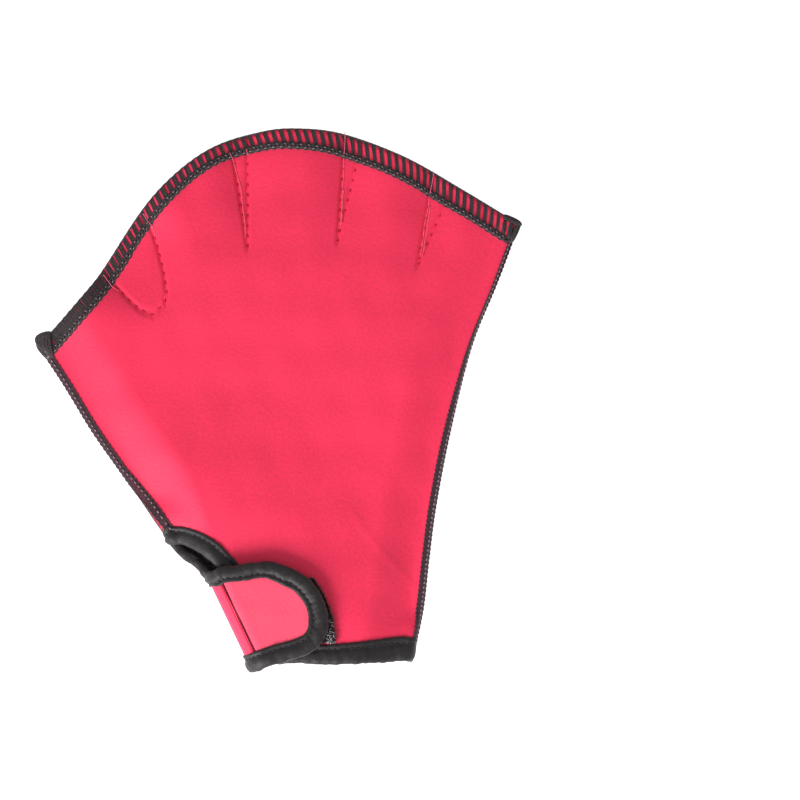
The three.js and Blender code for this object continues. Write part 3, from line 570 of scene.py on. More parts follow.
# Strap tab
TAB_TURN = SEAM_TURN + CLEARANCE / WRAP_RADIUS
TAB_START = HALF + WRAP_RADIUS * (1 - math.cos(TAB_TURN))


def strap_height(place):
    short = np.clip(WRAP_CENTRE - place @ FOLD_IN, 0, WRAP_RADIUS)
    return STRAP_HEIGHT - WRAP_RADIUS + np.sqrt(WRAP_RADIUS ** 2 - short ** 2)


TAB_ACROSS, TAB_UP = np.array(STRAP_LOWER_ROWS + STRAP_END_ROWS + STRAP_UPPER_ROWS).T
TAB_OUTLINE = Curve([strap_place(TAB_START, STRAP_FOOT),
                     *strap_place(TAB_ACROSS * STRAP_REACH, STRAP_FOOT + TAB_UP * STRAP_WIDTH),
                     strap_place(TAB_START, STRAP_FOOT + STRAP_WIDTH)])
TAB_SIDES = len(TAB_OUTLINE.points) - 1
TAB_LOWER = len(STRAP_LOWER_ROWS) / TAB_SIDES
TAB_UPPER = 1 - len(STRAP_UPPER_ROWS) / TAB_SIDES
tab_patch = four_sided(
    lambda row: strap_place(TAB_START, STRAP_FOOT + STRAP_WIDTH * np.asarray(row)),
    lambda row: TAB_OUTLINE.at(lerp(TAB_LOWER, TAB_UPPER, np.asarray(row))),
    lambda across: TAB_OUTLINE.at(TAB_LOWER * np.asarray(across)),
    lambda across: TAB_OUTLINE.at(lerp(1, TAB_UPPER, np.asarray(across))),
)


def patch_shape(start, along, up, length, width, end):
    def patch(share, row):
        out = (share * length * end(row))[..., None] * along
        return start + out + (row * width)[..., None] * up
    return patch


LOOP_START = np.array([LOOP_SETBACK, HEM_RISE + TAPE_WIDTH + CLEARANCE])
HOOK_START = strap_place(HOOK_SETBACK, STRAP_FOOT + TAPE_WIDTH)
LOOP_SEAT = HALF + CLEARANCE + LOOP_THICKNESS / 2
HOOK_SEAT = HALF + CLEARANCE + HOOK_THICKNESS / 2
loop_shape = patch_shape(LOOP_START, np.array([1.0, 0]), np.array([0, 1.0]),
                         LOOP_LENGTH, LOOP_WIDTH, lambda row: 1.01 - 0.42 * row ** 2.2)
hook_shape = patch_shape(HOOK_START, FOLD_IN, FOLD_UP, HOOK_LENGTH, HOOK_WIDTH,
                         lambda row: 1 - 0.15 * np.abs(2 * row - 1) ** 3)


class Raised:
    """Sheet that is known by its height over each place of a flat patch."""

    def __init__(self, height, patch):
        self.height, self.patch = height, patch

    def point(self, across, row):
        place = self.patch(*np.broadcast_arrays(np.asarray(across, float), np.asarray(row, float)))
        return with_height(place, self.height(place))

    def change(self, across, row, sideways, upwards):
        ahead = self.point(np.clip(across + sideways, 0, 1), np.clip(row + upwards, 0, 1))
        behind = self.point(np.clip(across - sideways, 0, 1), np.clip(row - upwards, 0, 1))
        return ahead - behind

    def square(self, across, row):
        return unit(np.cross(self.change(across, row, STEP, 0), self.change(across, row, 0, STEP)))


TAB = Raised(strap_height, tab_patch)
LOOP = Raised(lambda place: front_height(place) + LOOP_SEAT, loop_shape)
HOOK = Raised(lambda place: strap_height(place) - HOOK_SEAT, hook_shape)


# Meshes
def soft_noise(points, size, seed):
    """Smooth bumps from -1 to 1, about size across, the same on each run."""
    rng = np.random.default_rng(seed)
    total = np.zeros(points.shape[:-1])
    for _ in range(6):
        wave = unit(rng.normal(size=3)) * 2 * math.pi / (size * rng.uniform(0.8, 1.5))
        total += np.sin(points @ wave[:points.shape[-1]] + rng.uniform(0, 2 * math.pi))
    return total / 3


def ring_mesh(rings):
    """Closed skin through rings of points, one after the other."""
    count, around = rings.shape[:2]
    here = np.arange(around)
    ahead = (here + 1) % around
    strip = np.stack([here, ahead, ahead + around, here + around], 1)
    faces = (np.arange(count - 1)[:, None, None] * around + strip).reshape(-1, 4).tolist()
    faces += [here[::-1].tolist(), (here + (count - 1) * around).tolist()]
    return rings.reshape(-1, 3), faces


def tube(path, radius, up=(0, 0, 1), sides=6, flat=1.0):
    """Closed tube along a path, whose radius may change along it."""
    along = unit(np.gradient(np.asarray(path, float), axis=0))
    sideways = unit(np.cross(along, up))
    above = np.cross(sideways, along) * flat
    angle = np.arange(sides)[:, None] * 2 * math.pi / sides
    ring = sideways[:, None] * np.cos(angle) + above[:, None] * np.sin(angle)
    radius = np.broadcast_to(radius, len(path))[:, None, None]
    return ring_mesh(np.asarray(path, float)[:, None] + ring * radius)


def joined(parts):
    """Several (points, faces) as one."""
    points, faces, offset = [], [], 0
    for part_points, part_faces in parts:
        points.append(part_points)
        faces += [[v + offset for v in face] for face in part_faces]
        offset += len(part_points)
    return np.concatenate(points), faces


def make_piece(name, parts, material, replaced=()):
    """One piece of the glove from several (points, faces)."""
    points, faces = joined(parts)
    mesh = bpy.data.meshes.new(name)
    mesh.from_pydata(((points - MIDDLE) * METRES).tolist(), [], faces)
    mesh.shade_smooth()
    mesh.materials.append(material)
    piece = bpy.data.objects.new(name, mesh)
    bpy.context.scene.collection.objects.link(piece)
    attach(piece, "root")
    if replaced:
        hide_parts(*replaced)
    return piece


def closed_sheet(sheet, across, rows, thickness, has=None, relief=None, under=None):
    """Both faces of a sheet, with walls round the edges of the cells that it has."""
    across, rows = np.meshgrid(across, rows, indexing="ij")
    middle, square = sheet.point(across, rows), sheet.square(across, rows)
    above, below = np.full((2, *across.shape), thickness / 2)
    if relief:
        above += relief(middle, across, rows)
    if under:
        below -= under(across, rows)
    upper = (middle + square * above[..., None]).reshape(-1, 3)
    lower = (middle - square * below[..., None]).reshape(-1, 3)
    count = len(upper)
    index = np.arange(count).reshape(across.shape)
    cells = has(across[:-1, :-1], rows[:-1, :-1]) if has else index[:-1, :-1] >= 0
    i, j = np.nonzero(cells)
    quads = np.stack([index[i, j], index[i + 1, j], index[i + 1, j + 1], index[i, j + 1]], 1)
    faces = quads.tolist()
    edges = {edge: True for face in faces for edge in zip(face, face[1:] + face[:1])}
    faces += (quads[:, ::-1] + count).tolist()
    faces += [[q, p, p + count, q + count] for p, q in edges if (q, p) not in edges]
    used, faces = np.unique(np.array(faces), return_inverse=True)
    return np.concatenate([upper, lower])[used], faces.reshape(-1, 4).tolist()


# Finishes
def new_material(name, colour, roughness, specular=0.3, sheen=0.0):
    material = bpy.data.materials.new(name)
    material.use_nodes = True
    shader = material.node_tree.nodes["Principled BSDF"]
    for socket, value in (
        ("Base Color", (*colour, 1)), ("Roughness", roughness), ("Specular IOR Level", specular),
        ("Sheen Weight", sheen), ("Sheen Roughness", 0.5),
    ):
        shader.inputs[socket].default_value = value
    return material, material.node_tree, shader


def noise(tree, scale, detail):
    """Noise over the piece's own metres, scale bumps to a metre."""
    texture = tree.nodes.new("ShaderNodeTexNoise")
    texture.inputs["Scale"].default_value = scale
    texture.inputs["Detail"].default_value = detail
    place = tree.nodes.new("ShaderNodeTexCoord").outputs["Object"]
    tree.links.new(place, texture.inputs["Vector"])
    return texture.outputs["Fac"]


def tinted(tree, factor, low, high, start=0.3, end=0.7):
    """Colour between low and high, as factor goes from start to end."""
    ramp = tree.nodes.new("ShaderNodeValToRGB")
    for stop, place, colour in zip(ramp.color_ramp.elements, (start, end), (low, high)):
        stop.position, stop.color = place, (*colour, 1)
    tree.links.new(factor, ramp.inputs["Fac"])
    return ramp.outputs["Color"]


def multiplied(tree, first, second):
    mix = tree.nodes.new("ShaderNodeMix")
    mix.data_type = "RGBA"
    mix.blend_type = "MULTIPLY"
    mix.inputs["Factor"].default_value = 1
    tree.links.new(first, mix.inputs["A"])
    tree.links.new(second, mix.inputs["B"])
    return mix.outputs["Result"]


def finished(tree, shader, colour, height, depth):
    """Gives the shader a colour, and a bump with a depth in millimetres."""
    tree.links.new(colour, shader.inputs["Base Color"])
    bump = tree.nodes.new("ShaderNodeBump")
    bump.inputs["Strength"].default_value = 1
    bump.inputs["Distance"].default_value = depth * METRES
    tree.links.new(height, bump.inputs["Height"])
    tree.links.new(bump.outputs["Normal"], shader.inputs["Normal"])


def grey(value):
    return (value, value, value)


def scaled(colour, factor):
    return tuple(min(1.0, part * factor) for part in colour)


def knit_material(name, colour, settings):
    """Fine jersey face on neoprene: grain and slow changes of shade."""
    material, tree, shader = new_material(name, colour, settings.roughness, 0.35, settings.sheen)
    slow = tinted(tree, noise(tree, 28, 2.0), scaled(colour, 0.965), scaled(colour, 1.03))
    grain = noise(tree, 950, 4.0)
    fine = tinted(tree, grain, grey(0.86), grey(1.0))
    finished(tree, shader, multiplied(tree, slow, fine), grain, settings.grain_depth)
    return material


def tape_material(name, settings):
    """Satin knitted tape, with fine ribs and soft streaks."""
    colour = settings.colour
    material, tree, shader = new_material(name, colour, settings.roughness, 0.36, 0.08)
    streaks = tinted(tree, noise(tree, 420, 3.0), scaled(colour, 0.75), scaled(colour, 1.35))
    finished(tree, shader, streaks, noise(tree, 1400, 2.0), 0.12)
    return material


def thread_material(name, colour, shine=1.0):
    """Twisted sewing thread."""
    material, tree, shader = new_material(name, colour, 0.65, 0.3 * shine, 0.2 * shine)
    twist = noise(tree, 2500, 1.0)
    strands = tinted(tree, twist, scaled(colour, 0.65), scaled(colour, 1.45))
    finished(tree, shader, strands, twist, 0.06)
    return material


def pile_material(name, colour, light):
    """Brushed or hooked fastener cloth, dark with paler flecks."""
    material, tree, shader = new_material(name, colour, 0.9, 0.2, 0.4)
    flecks = noise(tree, 900, 4.0)
    finished(tree, shader, tinted(tree, flecks, colour, light, 0.45, 0.75), flecks, 0.4)
    return material


# Settings
class ClothSettings(bpy.types.PropertyGroup):
    """Neoprene panels and strap"""
    colour: FloatVectorProperty(
        name="Panel colour", description="Face colour of the two panels",
        subtype="COLOR", size=3, min=0, max=1, default=(0.90, 0.024, 0.090))
    # The strap's colour is paler than the panels' to paint the sheen of the tab's jersey: painted
    # highlight
    strap_sheen_colour: FloatVectorProperty(
        name="Strap colour", description="Face colour of the strap's tab",
        subtype="COLOR", size=3, min=0, max=1, default=(0.90, 0.075, 0.150))
    roughness: FloatProperty(
        name="Roughness", description="How matt the jersey face is", min=0, max=1, default=0.6)
    sheen: FloatProperty(
        name="Sheen", description="Soft light at the edges of the jersey", min=0, max=1, default=0.08)
    grain_depth: FloatProperty(
        name="Grain depth", description="Depth of the knit's grain in millimetres",
        min=0, max=1, default=0.12)
    groove_depth: FloatProperty(
        name="Seam groove", description="Depth of the sewn web seams in millimetres",
        min=0, max=1.5, default=0.55)


class TapeSettings(bpy.types.PropertyGroup):
    """Folded binding tape"""
    colour: FloatVectorProperty(
        name="Tape colour", description="Colour of the folded tape",
        subtype="COLOR", size=3, min=0, max=1, default=(0.0125, 0.009, 0.010))
    roughness: FloatProperty(
        name="Roughness", description="How matt the tape is", min=0, max=1, default=0.55)
    roll: FloatProperty(
        name="Roll", description="Crown of the tape's outer roll in millimetres",
        min=0, max=1, default=0.45)
    wrinkle: FloatProperty(
        name="Wrinkle", description="Height of the tape's wrinkles in millimetres",
        min=0, max=0.5, default=0.14)


class ThreadSettings(bpy.types.PropertyGroup):
    """Threads of the overlocked edges and the seams"""
    colour: FloatVectorProperty(
        name="Thread colour", description="Colour of the black threads",
        subtype="COLOR", size=3, min=0, max=1, default=(0.034, 0.024, 0.027))
    # glint is painted highlight: the paler dots on the chain and seam threads stand in for light on the
    # threads
    glint: FloatVectorProperty(
        name="Light thread", description="Colour of the paler knots in the chains",
        subtype="COLOR", size=3, min=0, max=1, default=(0.34, 0.20, 0.24))
    seam: FloatVectorProperty(
        name="Web thread", description="Colour of the stitches along the web seams",
        subtype="COLOR", size=3, min=0, max=1, default=(0.60, 0.012, 0.060))
    tail: FloatVectorProperty(
        name="Tail colour", description="Colour of the loose pale thread ends",
        subtype="COLOR", size=3, min=0, max=1, default=(0.93, 0.11, 0.19))
    overlock_width: FloatProperty(
        name="Overlock width", description="Width of the overlocked edge in millimetres",
        min=4, max=12, default=8.0)
    overlock_pitch: FloatProperty(
        name="Overlock pitch", description="Distance between overlock stitches in millimetres",
        min=1, max=6, default=3.1)
    thickness: FloatProperty(
        name="Thread thickness", description="Diameter of a thread in millimetres",
        min=0.1, max=1, default=0.46)


class StageSettings(bpy.types.PropertyGroup):
    """Floor, light and camera"""
    floor_colour: FloatVectorProperty(
        name="Floor colour", description="Colour of the plain floor",
        subtype="COLOR", size=3, min=0, max=1, default=(0.50, 0.50, 0.50))
    floor_glow: FloatProperty(
        name="Floor glow", description="Light that the floor gives, so that it stays white",
        min=0, max=4, default=0.95)
    key_power: FloatProperty(
        name="Key light", description="Power of the large light at the wrist end",
        subtype="POWER", unit="POWER", min=0, default=16.5)
    sky: FloatProperty(
        name="Surrounding light", description="Strength of the even light from all round",
        min=0, max=4, default=0.55)
    lens: FloatProperty(
        name="Lens", description="Focal length of the camera in millimetres",
        min=20, max=300, default=135)
    view_width: FloatProperty(
        name="View width", description="Width of floor that the picture takes in",
        subtype="DISTANCE", unit="LENGTH", min=0.1, max=1, default=0.308)


# Panels
FINE_STEP = 0.45
COARSE_STEP = 1.3
FRONT_ROW_STEP = 1.5
BACK_STEP = 2.4
WRAP_STATIONS = 12
WEB_MARGIN = 5.0
SAME_ROW = 1e-9
CREASE_LINE = np.array([[38.5, 61.2], [47.0, 49.5], [62.2, 32.4]])
CREASE_RISE = 0.12
CREASE_WIDTH = 1.3
SOFT_RISE = 0.12
SOFT_SIZE = 15.0
GROOVE_WIDTH = 0.8
HOLE_SHARE = 0.6
HOLE_WIDTH = 0.7
HOLE_SEARCH = 2.5
FRONT_SQUEEZE = 0.35
FRONT_SQUEEZE_REACH = (5.0, 9.5)
BACK_SQUEEZE = 0.75
BACK_SQUEEZE_REACH = (8.5, 11.0)
FRONT_EDGE_ROW = 0.9965
BACK_EDGE_ROW = 0.9985
CHAIN_COVER = 7.6
STRAIGHT_PITCH = 4.0
ROUND_PITCH = 3.6
STRAP_SOFT_RISE = 0.1
STRAP_SOFT_SIZE = 9.0

ARC_FINE = ARC_LINE.spaced(np.linspace(0, 1, 200))
ARC_FAN = np.vstack([ARC_FINE, [[0, 0]]])
THUMB_TURN = np.concatenate([np.linspace(0, BEND_SHARE, 8), [1.0]])
LITTLE_TURN = (3 - THUMB_TURN)[::-1]

# Sewn lines of the webs, from the arc down one leg and up the other
WEB_LEGS = [np.array([[-9.2, 205.7], [-2.3, 164.1], [-2.35, 206.5]]),
            np.array([[35.4, 208.0], [32.3, 166.2], [42.3, 206.5]]),
            np.array([[69.2, 193.0], [63.2, 156.6], [77.3, 189.1]]),
            WEBS[-1]]


def panel_stations(fine, coarse, webs):
    """Stations across a panel, from side to side, with more of them over the webs."""
    shares = np.linspace(0, 1, 2001)
    x = ARC_INNER.spaced(shares)[:, 0]
    step = np.full(len(shares), coarse)
    for web in webs:
        low, high = web[:, 0].min() - WEB_MARGIN, web[:, 0].max() + WEB_MARGIN
        step[(x > low) & (x < high)] = fine
    count = np.concatenate([[0], np.cumsum(ARC_INNER.length * np.diff(shares) / step[1:])])
    palm = 1 + np.interp(np.linspace(0, count[-1], int(count[-1]) + 1), count, shares)
    return np.concatenate([THUMB_TURN[:-1], palm, LITTLE_TURN[1:]])


def panel_rows(step, last):
    marks = [0, STRAP_TOP_ROW, SLIT_TOP_ROW, last]
    lengths = [STRAP_WIDTH, BACK_SLIT.length, LITTLE_SEAM.length * (1 - SLIT_TOP_ROW)]
    runs = [np.linspace(low, high, int(length / step) + 1)[:-1]
            for low, high, length in zip(marks[:-1], marks[1:], lengths)]
    return np.concatenate([*runs, [last]])


def on_palm(across):
    return smoothstep(across, 1.0, 1.03) * fade(across, 1.97, 2.0)


def from_arc(row):
    return (1 - row) * LITTLE_SEAM.length


def front_relief(groove_depth):
    holes_of_legs = [stitch_places(leg)[:, 0] for leg in WEB_LEGS]

    def relief(middle, across, row):
        place = middle[..., :2]
        lift = SOFT_RISE * soft_noise(place, SOFT_SIZE, SEED)
        lift += CREASE_RISE * np.exp(-(distance_to_line(place, CREASE_LINE) / CREASE_WIDTH) ** 2)
        for leg, holes in zip(WEB_LEGS, holes_of_legs):
            beside = distance_to_line(place, leg)
            lift -= groove_depth * np.exp(-(beside / GROOVE_WIDTH) ** 2)
            near = beside < HOLE_SEARCH
            gaps = np.linalg.norm(place[near][:, None] - holes, axis=-1).min(axis=1)
            lift[near] -= HOLE_SHARE * groove_depth * np.exp(-(gaps / HOLE_WIDTH) ** 2)
        lift -= FRONT_SQUEEZE * fade(from_arc(row), *FRONT_SQUEEZE_REACH)
        return lift * on_palm(across)

    return relief


def back_squeeze(across, row):
    """The back panel's lower face is pressed in where its overlock threads run."""
    return BACK_SQUEEZE * fade(from_arc(row), *BACK_SQUEEZE_REACH) * on_palm(across)


def stitch_places(leg):
    """Places and directions of the stitches on a sewn line, where the arc's chain leaves it free."""
    pitch = STRAIGHT_PITCH if len(leg) == 3 else ROUND_PITCH
    at = np.arange(pitch / 2, run_lengths(leg)[-1], pitch)
    place, along = read_line(leg, at), unit(read_line(leg, at + 0.5) - read_line(leg, at - 0.5))
    free = (distance_to_line(place, ARC_FINE) >= CHAIN_COVER) & is_inside(place, ARC_FAN)
    return np.stack([place, along], 1)[free]


class GLOVE_OT_panels(bpy.types.Operator):
    """Make the front and back panels of the glove"""
    bl_idname = "glove.panels"
    bl_label = "Panels"

    def execute(self, context):
        settings = context.scene.glove_cloth
        neoprene = knit_material("neoprene_jersey", settings.colour, settings)
        front = closed_sheet(
            FRONT, panel_stations(FINE_STEP, COARSE_STEP, WEB_LEGS),
            panel_rows(FRONT_ROW_STEP, FRONT_EDGE_ROW), SHEET_THICKNESS,
            has=lambda across, row: (across >= 1) | (row >= SLIT_TOP_ROW - SAME_ROW),
            relief=front_relief(settings.groove_depth))
        wrap = np.linspace(-1, 0, WRAP_STATIONS)[:-1]
        back = closed_sheet(
            BACK, np.concatenate([wrap, panel_stations(BACK_STEP, BACK_STEP, [])]),
            panel_rows(BACK_STEP, BACK_EDGE_ROW), SHEET_THICKNESS,
            has=lambda across, row: (across >= -SAME_ROW) | (row < STRAP_TOP_ROW - SAME_ROW),
            under=back_squeeze)
        make_piece("front_cloth", [front], neoprene, ["front_panel"])
        make_piece("back_cloth", [back], neoprene, ["back_panel"])
        return {"FINISHED"}


class GLOVE_OT_strap(bpy.types.Operator):
    """Make the strap's round-ended tab"""
    bl_idname = "glove.strap"
    bl_label = "Strap tab"

    def execute(self, context):
        settings = context.scene.glove_cloth
        # Paler strap colour: painted sheen on the tab
        cloth = knit_material("strap_jersey_sheen", settings.strap_sheen_colour, settings)

        def relief(middle, across, row):
            return STRAP_SOFT_RISE * soft_noise(middle[..., :2], STRAP_SOFT_SIZE, SEED + 1)

        tab = closed_sheet(TAB, np.linspace(0, 1, 40), np.linspace(0, 1, 44), SHEET_THICKNESS,
                           relief=relief)
        make_piece("strap_cloth", [tab], cloth, ["strap_tab"])
        return {"FINISHED"}


# Patches
NAP_RISE = 0.15
NAP_SIZE = 1.2
FIBRE_COUNT = 1300
FIBRE_HEIGHT = LOOP_THICKNESS * 0.75
FIBRE_SPREAD = 0.9
FIBRE_RADIUS = 0.09
FIBRE_SHAPE = ((0, 0), (1, 0.35), (0.9, 0.8), (0.2, 1))
EDGE_STRIP = 0.03
FLECK_COUNT = 46
FLECK_REACH = 0.45
FLECK_RADIUS = 0.1
HOOK_RADIUS = 0.08
HOOK_BEND = 0.28
HOOK_SHAPE = ((0, 0), (0.35, 0), (0.5, 0.5), (0.38, 1))


def loop_fibres():
    """Small arched fibres on the loop patch, with more of them along its end."""
    rng = np.random.default_rng(SEED + 3)
    shares, rows = rng.uniform(0, 1, (2, FIBRE_COUNT))
    at_end = (rng.uniform(size=FIBRE_COUNT) < 0.45) & (rng.uniform(size=FIBRE_COUNT) < 0.6)
    shares = np.where(at_end, 1 - rng.uniform(0, EDGE_STRIP, FIBRE_COUNT), shares)
    leans = unit(rng.normal(size=(FIBRE_COUNT, 3)) * np.array([1, 1, 0.2]))
    parts = []
    for foot, square, lean in zip(LOOP.point(shares, rows), LOOP.square(shares, rows), leans):
        rise = square * FIBRE_HEIGHT * rng.uniform(0.5, 1.2)
        reach = lean * FIBRE_SPREAD * rng.uniform(0.5, 1.4)
        path = [foot + rise * up + reach * out for up, out in FIBRE_SHAPE]
        parts.append(tube(path, FIBRE_RADIUS, up=unit(square + 0.01), sides=3))
    return parts


def loop_flecks():
    """Pale fibres that catch the light at the loop patch's lower end."""
    rng = np.random.default_rng(SEED + 4)
    places = [rng.uniform(low, high, FLECK_COUNT) for low, high in ((0.84, 1.0), (0.0, 0.38), (0, 180))]
    parts = []
    for share, row, lean in zip(*places):
        foot = LOOP.point(share, row) + np.array([0, 0, FIBRE_HEIGHT + 0.25])
        reach = with_height(direction(lean), 0.12) * FLECK_REACH
        middle = foot + reach * 0.1 + np.array([0, 0, 0.1])
        parts.append(tube([foot - reach, middle, foot + reach], FLECK_RADIUS, sides=4))
    return parts


def hook_stems():
    """Small bent hooks in rows under the hook patch."""
    shares, rows = np.meshgrid(np.linspace(0.06, 0.94, 11), np.linspace(0.05, 0.95, 16), indexing="ij")
    feet, squares = (read(shares, rows).reshape(-1, 3) for read in (HOOK.point, HOOK.square))
    bend = with_height(FOLD_IN, 0.0) * HOOK_BEND
    parts = []
    for foot, square in zip(feet, squares):
        base = foot - square * HOOK_THICKNESS / 2
        path = [base - square * down + bend * out for down, out in HOOK_SHAPE]
        parts.append(tube(path, HOOK_RADIUS, up=with_height(FOLD_UP, 0.0), sides=4))
    return parts


class GLOVE_OT_patches(bpy.types.Operator):
    """Make the loop patch and the hook patch of the closure"""
    bl_idname = "glove.patches"
    bl_label = "Loop and hook patches"

    def execute(self, context):
        loop = pile_material("loop_pile_cloth", (0.008, 0.006, 0.007), (0.03, 0.024, 0.026))
        hook = pile_material("hook_cloth", (0.014, 0.012, 0.013), (0.05, 0.045, 0.047))
        pale = thread_material("pale_fibre", (0.34, 0.30, 0.31))

        def nap(middle, across, row):
            return NAP_RISE * soft_noise(middle[..., :2], NAP_SIZE, SEED + 2)

        stations = np.linspace(0, 1, 36)
        body = closed_sheet(LOOP, stations, stations, LOOP_THICKNESS, relief=nap)
        make_piece("loop_pile", [body, *loop_fibres()], loop, ["loop_patch"])
        make_piece("loop_flecks", loop_flecks(), pale)
        body = closed_sheet(HOOK, np.linspace(0, 1, 20), np.linspace(0, 1, 28), HOOK_THICKNESS)
        make_piece("hook_pile", [body, *hook_stems()], hook, ["hook_patch"])
        return {"FINISHED"}


# Folded tape: lengths of cloth from its fold, and how far it stands off the cloth there
TAPE_LIFT_ROWS = ((6.0, 0.12), (5.85, 0.42), (5.3, 0.5), (4.75, 0.44), (4.35, 0.22), (4.0, 0.2),
                  (3.6, 0.5), (2.9, 0.78), (2.0, 0.95), (1.1, 0.95), (0.4, 0.85))
NOSE_ANGLES = (62, 35, 10, -15, -40, -65)
GROOVE_PLACE = 4.17
CROWN_RISE = 0.35
NOSE_ROLL = 0.7
NOSE_REACH = 1.05
TAPE_WAVE = 0.22
TAPE_WAVE_SIZE = 8.0
WRINKLE_SIZES = (3.2, 1.5)
TAPE_FLOOR = 0.02
TAPE_SHARES = np.array([row[0] for row in TAPE_LIFT_ROWS] + [GROOVE_PLACE, 0.0])
STITCH_LENGTH = 1.5
STITCH_GAP = 0.75
STITCH_LIFT = 0.28
STITCH_DIP = np.array([-0.2, 0.05, 0.12, 0.05, -0.2])
NARROW_TAPE = 0.82
HEM_STATIONS = 90


def row_edge(panel, across, row, way, wide=1.0):
    """Points, squares and outward ways of a tape's stations on a row of a panel."""
    row = np.full(across.shape, float(row))
    along = unit(panel.change(across, row, STEP, 0))
    into = panel.point(across, row + way * STEP) - panel.point(across, row)
    into = into - along * (into * along).sum(-1, keepdims=True)
    rate = np.linalg.norm(into, axis=-1) / STEP
    rows = row[:, None] + way * TAPE_SHARES * (wide / rate)[:, None]
    grid = np.broadcast_to(across[:, None], rows.shape)
    return panel.point(grid, rows), panel.square(grid, rows), -unit(into)


def slit_edge(row):
    """The same on the back panel's slit edge, where the cloth turns over."""
    radius = thumb_radius(row)[:, None]
    flat = radius * QUARTER + SEAM_FLAT
    width = np.linalg.norm(back_patch(0.0, row) - back_patch(1.0, row), axis=-1)[:, None]
    past = 1 + (TAPE_SHARES - flat) / width
    across = np.where(TAPE_SHARES < flat, turn_share(radius, TAPE_SHARES), past)
    rows = np.broadcast_to(row[:, None], across.shape)
    points = BACK.point(across, rows)
    return points, BACK.square(across, rows), unit(points[:, -1] - points[:, -3])


def outline_edge(height, place, inward, flip=1, wide=1.0):
    """The same along an outline of a sheet that is known by its height."""
    place, inward = np.atleast_2d(place), np.atleast_2d(inward)
    wide = np.broadcast_to(wide, len(place))[:, None, None]
    places = place[:, None] + TAPE_SHARES[:, None] * wide * inward[:, None]
    slope = [(height(places + step) - height(places - step)) / (2 * STEP) for step in STEP * np.eye(2)]
    squares = unit(np.stack([-slope[0], -slope[1], np.ones_like(slope[0])], -1))
    out, first = with_height(-inward, np.zeros(len(place))), squares[:, -1]
    out = unit(out - first * (out * first).sum(-1, keepdims=True))
    return with_height(places, height(places)), squares * flip, out


def inward_along(curve, step, way):
    along = curve.tangent(step)
    return np.stack([-along[..., 1], along[..., 0]], -1) * way


def chained(edges):
    return [np.concatenate(parts) for parts in zip(*edges)]


def tape_profile(edge, settings, seed):
    """Closed U section of the tape at each station, crowned outside and thin inside."""
    points, squares, out = edge
    base, flat = points[:, -1], squares[:, -1]
    wave = TAPE_WAVE * soft_noise(base, TAPE_WAVE_SIZE, seed + 2)[:, None]
    clear = np.clip((base[:, 2:] - 2.6) / 3, 0, 1)

    def face(side, crown):
        rings = []
        for k, (_, lift) in enumerate(TAPE_LIFT_ROWS):
            rise = crown * max(lift - TAPE_THICKNESS, 0) * settings.roll / CROWN_RISE
            top = TAPE_INNER + min(lift, TAPE_THICKNESS) + rise
            rings.append(points[:, k] + squares[:, k] * side * top)
        return rings

    nose = []
    for angle in np.radians(NOSE_ANGLES):
        height = TAPE_OUTER + settings.roll * NOSE_ROLL * (clear if angle < 0 else 1)
        reach = (TAPE_NOSE * NOSE_REACH + wave) * math.cos(angle) ** 0.8
        nose.append(base + flat * math.sin(angle) * height + out * reach)
    shell = np.stack(face(1, 1) + nose + face(-1, clear)[::-1], 1)
    coarse, fine = (soft_noise(shell, size, seed + k) for k, size in enumerate(WRINKLE_SIZES))
    away = unit(shell - (base - out * 3)[:, None])
    keep = np.clip(shell[..., 2:] / TAPE_THICKNESS, 0, 1)
    shell += away * (settings.wrinkle * (coarse + 0.6 * fine))[..., None] * keep
    shell[..., 2] = np.maximum(shell[..., 2], TAPE_FLOOR)
    inner = [points[:, 0] - squares[:, 0] * TAPE_INNER, base - flat * TAPE_INNER,
             base + out * CLEARANCE * 0.8,
             base + flat * TAPE_INNER, points[:, 0] + squares[:, 0] * TAPE_INNER]
    return np.concatenate([shell, np.stack(inner, 1)], 1)


def tape_stitches(edge, side, radius):
    """Short stitches in the tape's groove, each dipping into it at both ends."""
    points, squares, _ = edge
    where = len(TAPE_LIFT_ROWS)
    groove = points[:, where] + squares[:, where] * side * (TAPE_INNER + STITCH_LIFT)
    groove = groove[groove[:, 2] > SHEET_THICKNESS]
    count = len(STITCH_DIP)
    step = STITCH_LENGTH / (count - 1)
    fine = read_line(groove, np.arange(0, run_lengths(groove)[-1], step))
    period = int(round((STITCH_LENGTH + STITCH_GAP) / step))
    dip = with_height(np.zeros((count, 2)), STITCH_DIP)
    return [tube(fine[start:start + count] + dip, radius, sides=5)
            for start in range(0, len(fine) - count, period)]


def front_tape_edge():
    steps = FRONT_SLIT.step(np.linspace(1, 0, 70)[1:-1])
    from_hem = inward_along(FRONT_HEM, 0.0, 1)
    corner = (FOLD_IN + from_hem) / (1 + FOLD_IN @ from_hem)
    hem = np.concatenate([np.linspace(1.11, 2, HEM_STATIONS), LITTLE_TURN[1:]])
    side = np.linspace(0, 1, 12)
    return chained([
        row_edge(FRONT, side, SLIT_TOP_ROW, 1, wide=lerp(0.55, 1, side)),
        outline_edge(front_height, FRONT_SLIT.at(steps), inward_along(FRONT_SLIT, steps, -1)),
        outline_edge(front_height, FRONT_CORNER, corner),
        row_edge(FRONT, hem, 0, 1, wide=lerp(1, 1.33, smoothstep(hem, 1.3, 2))),
    ])


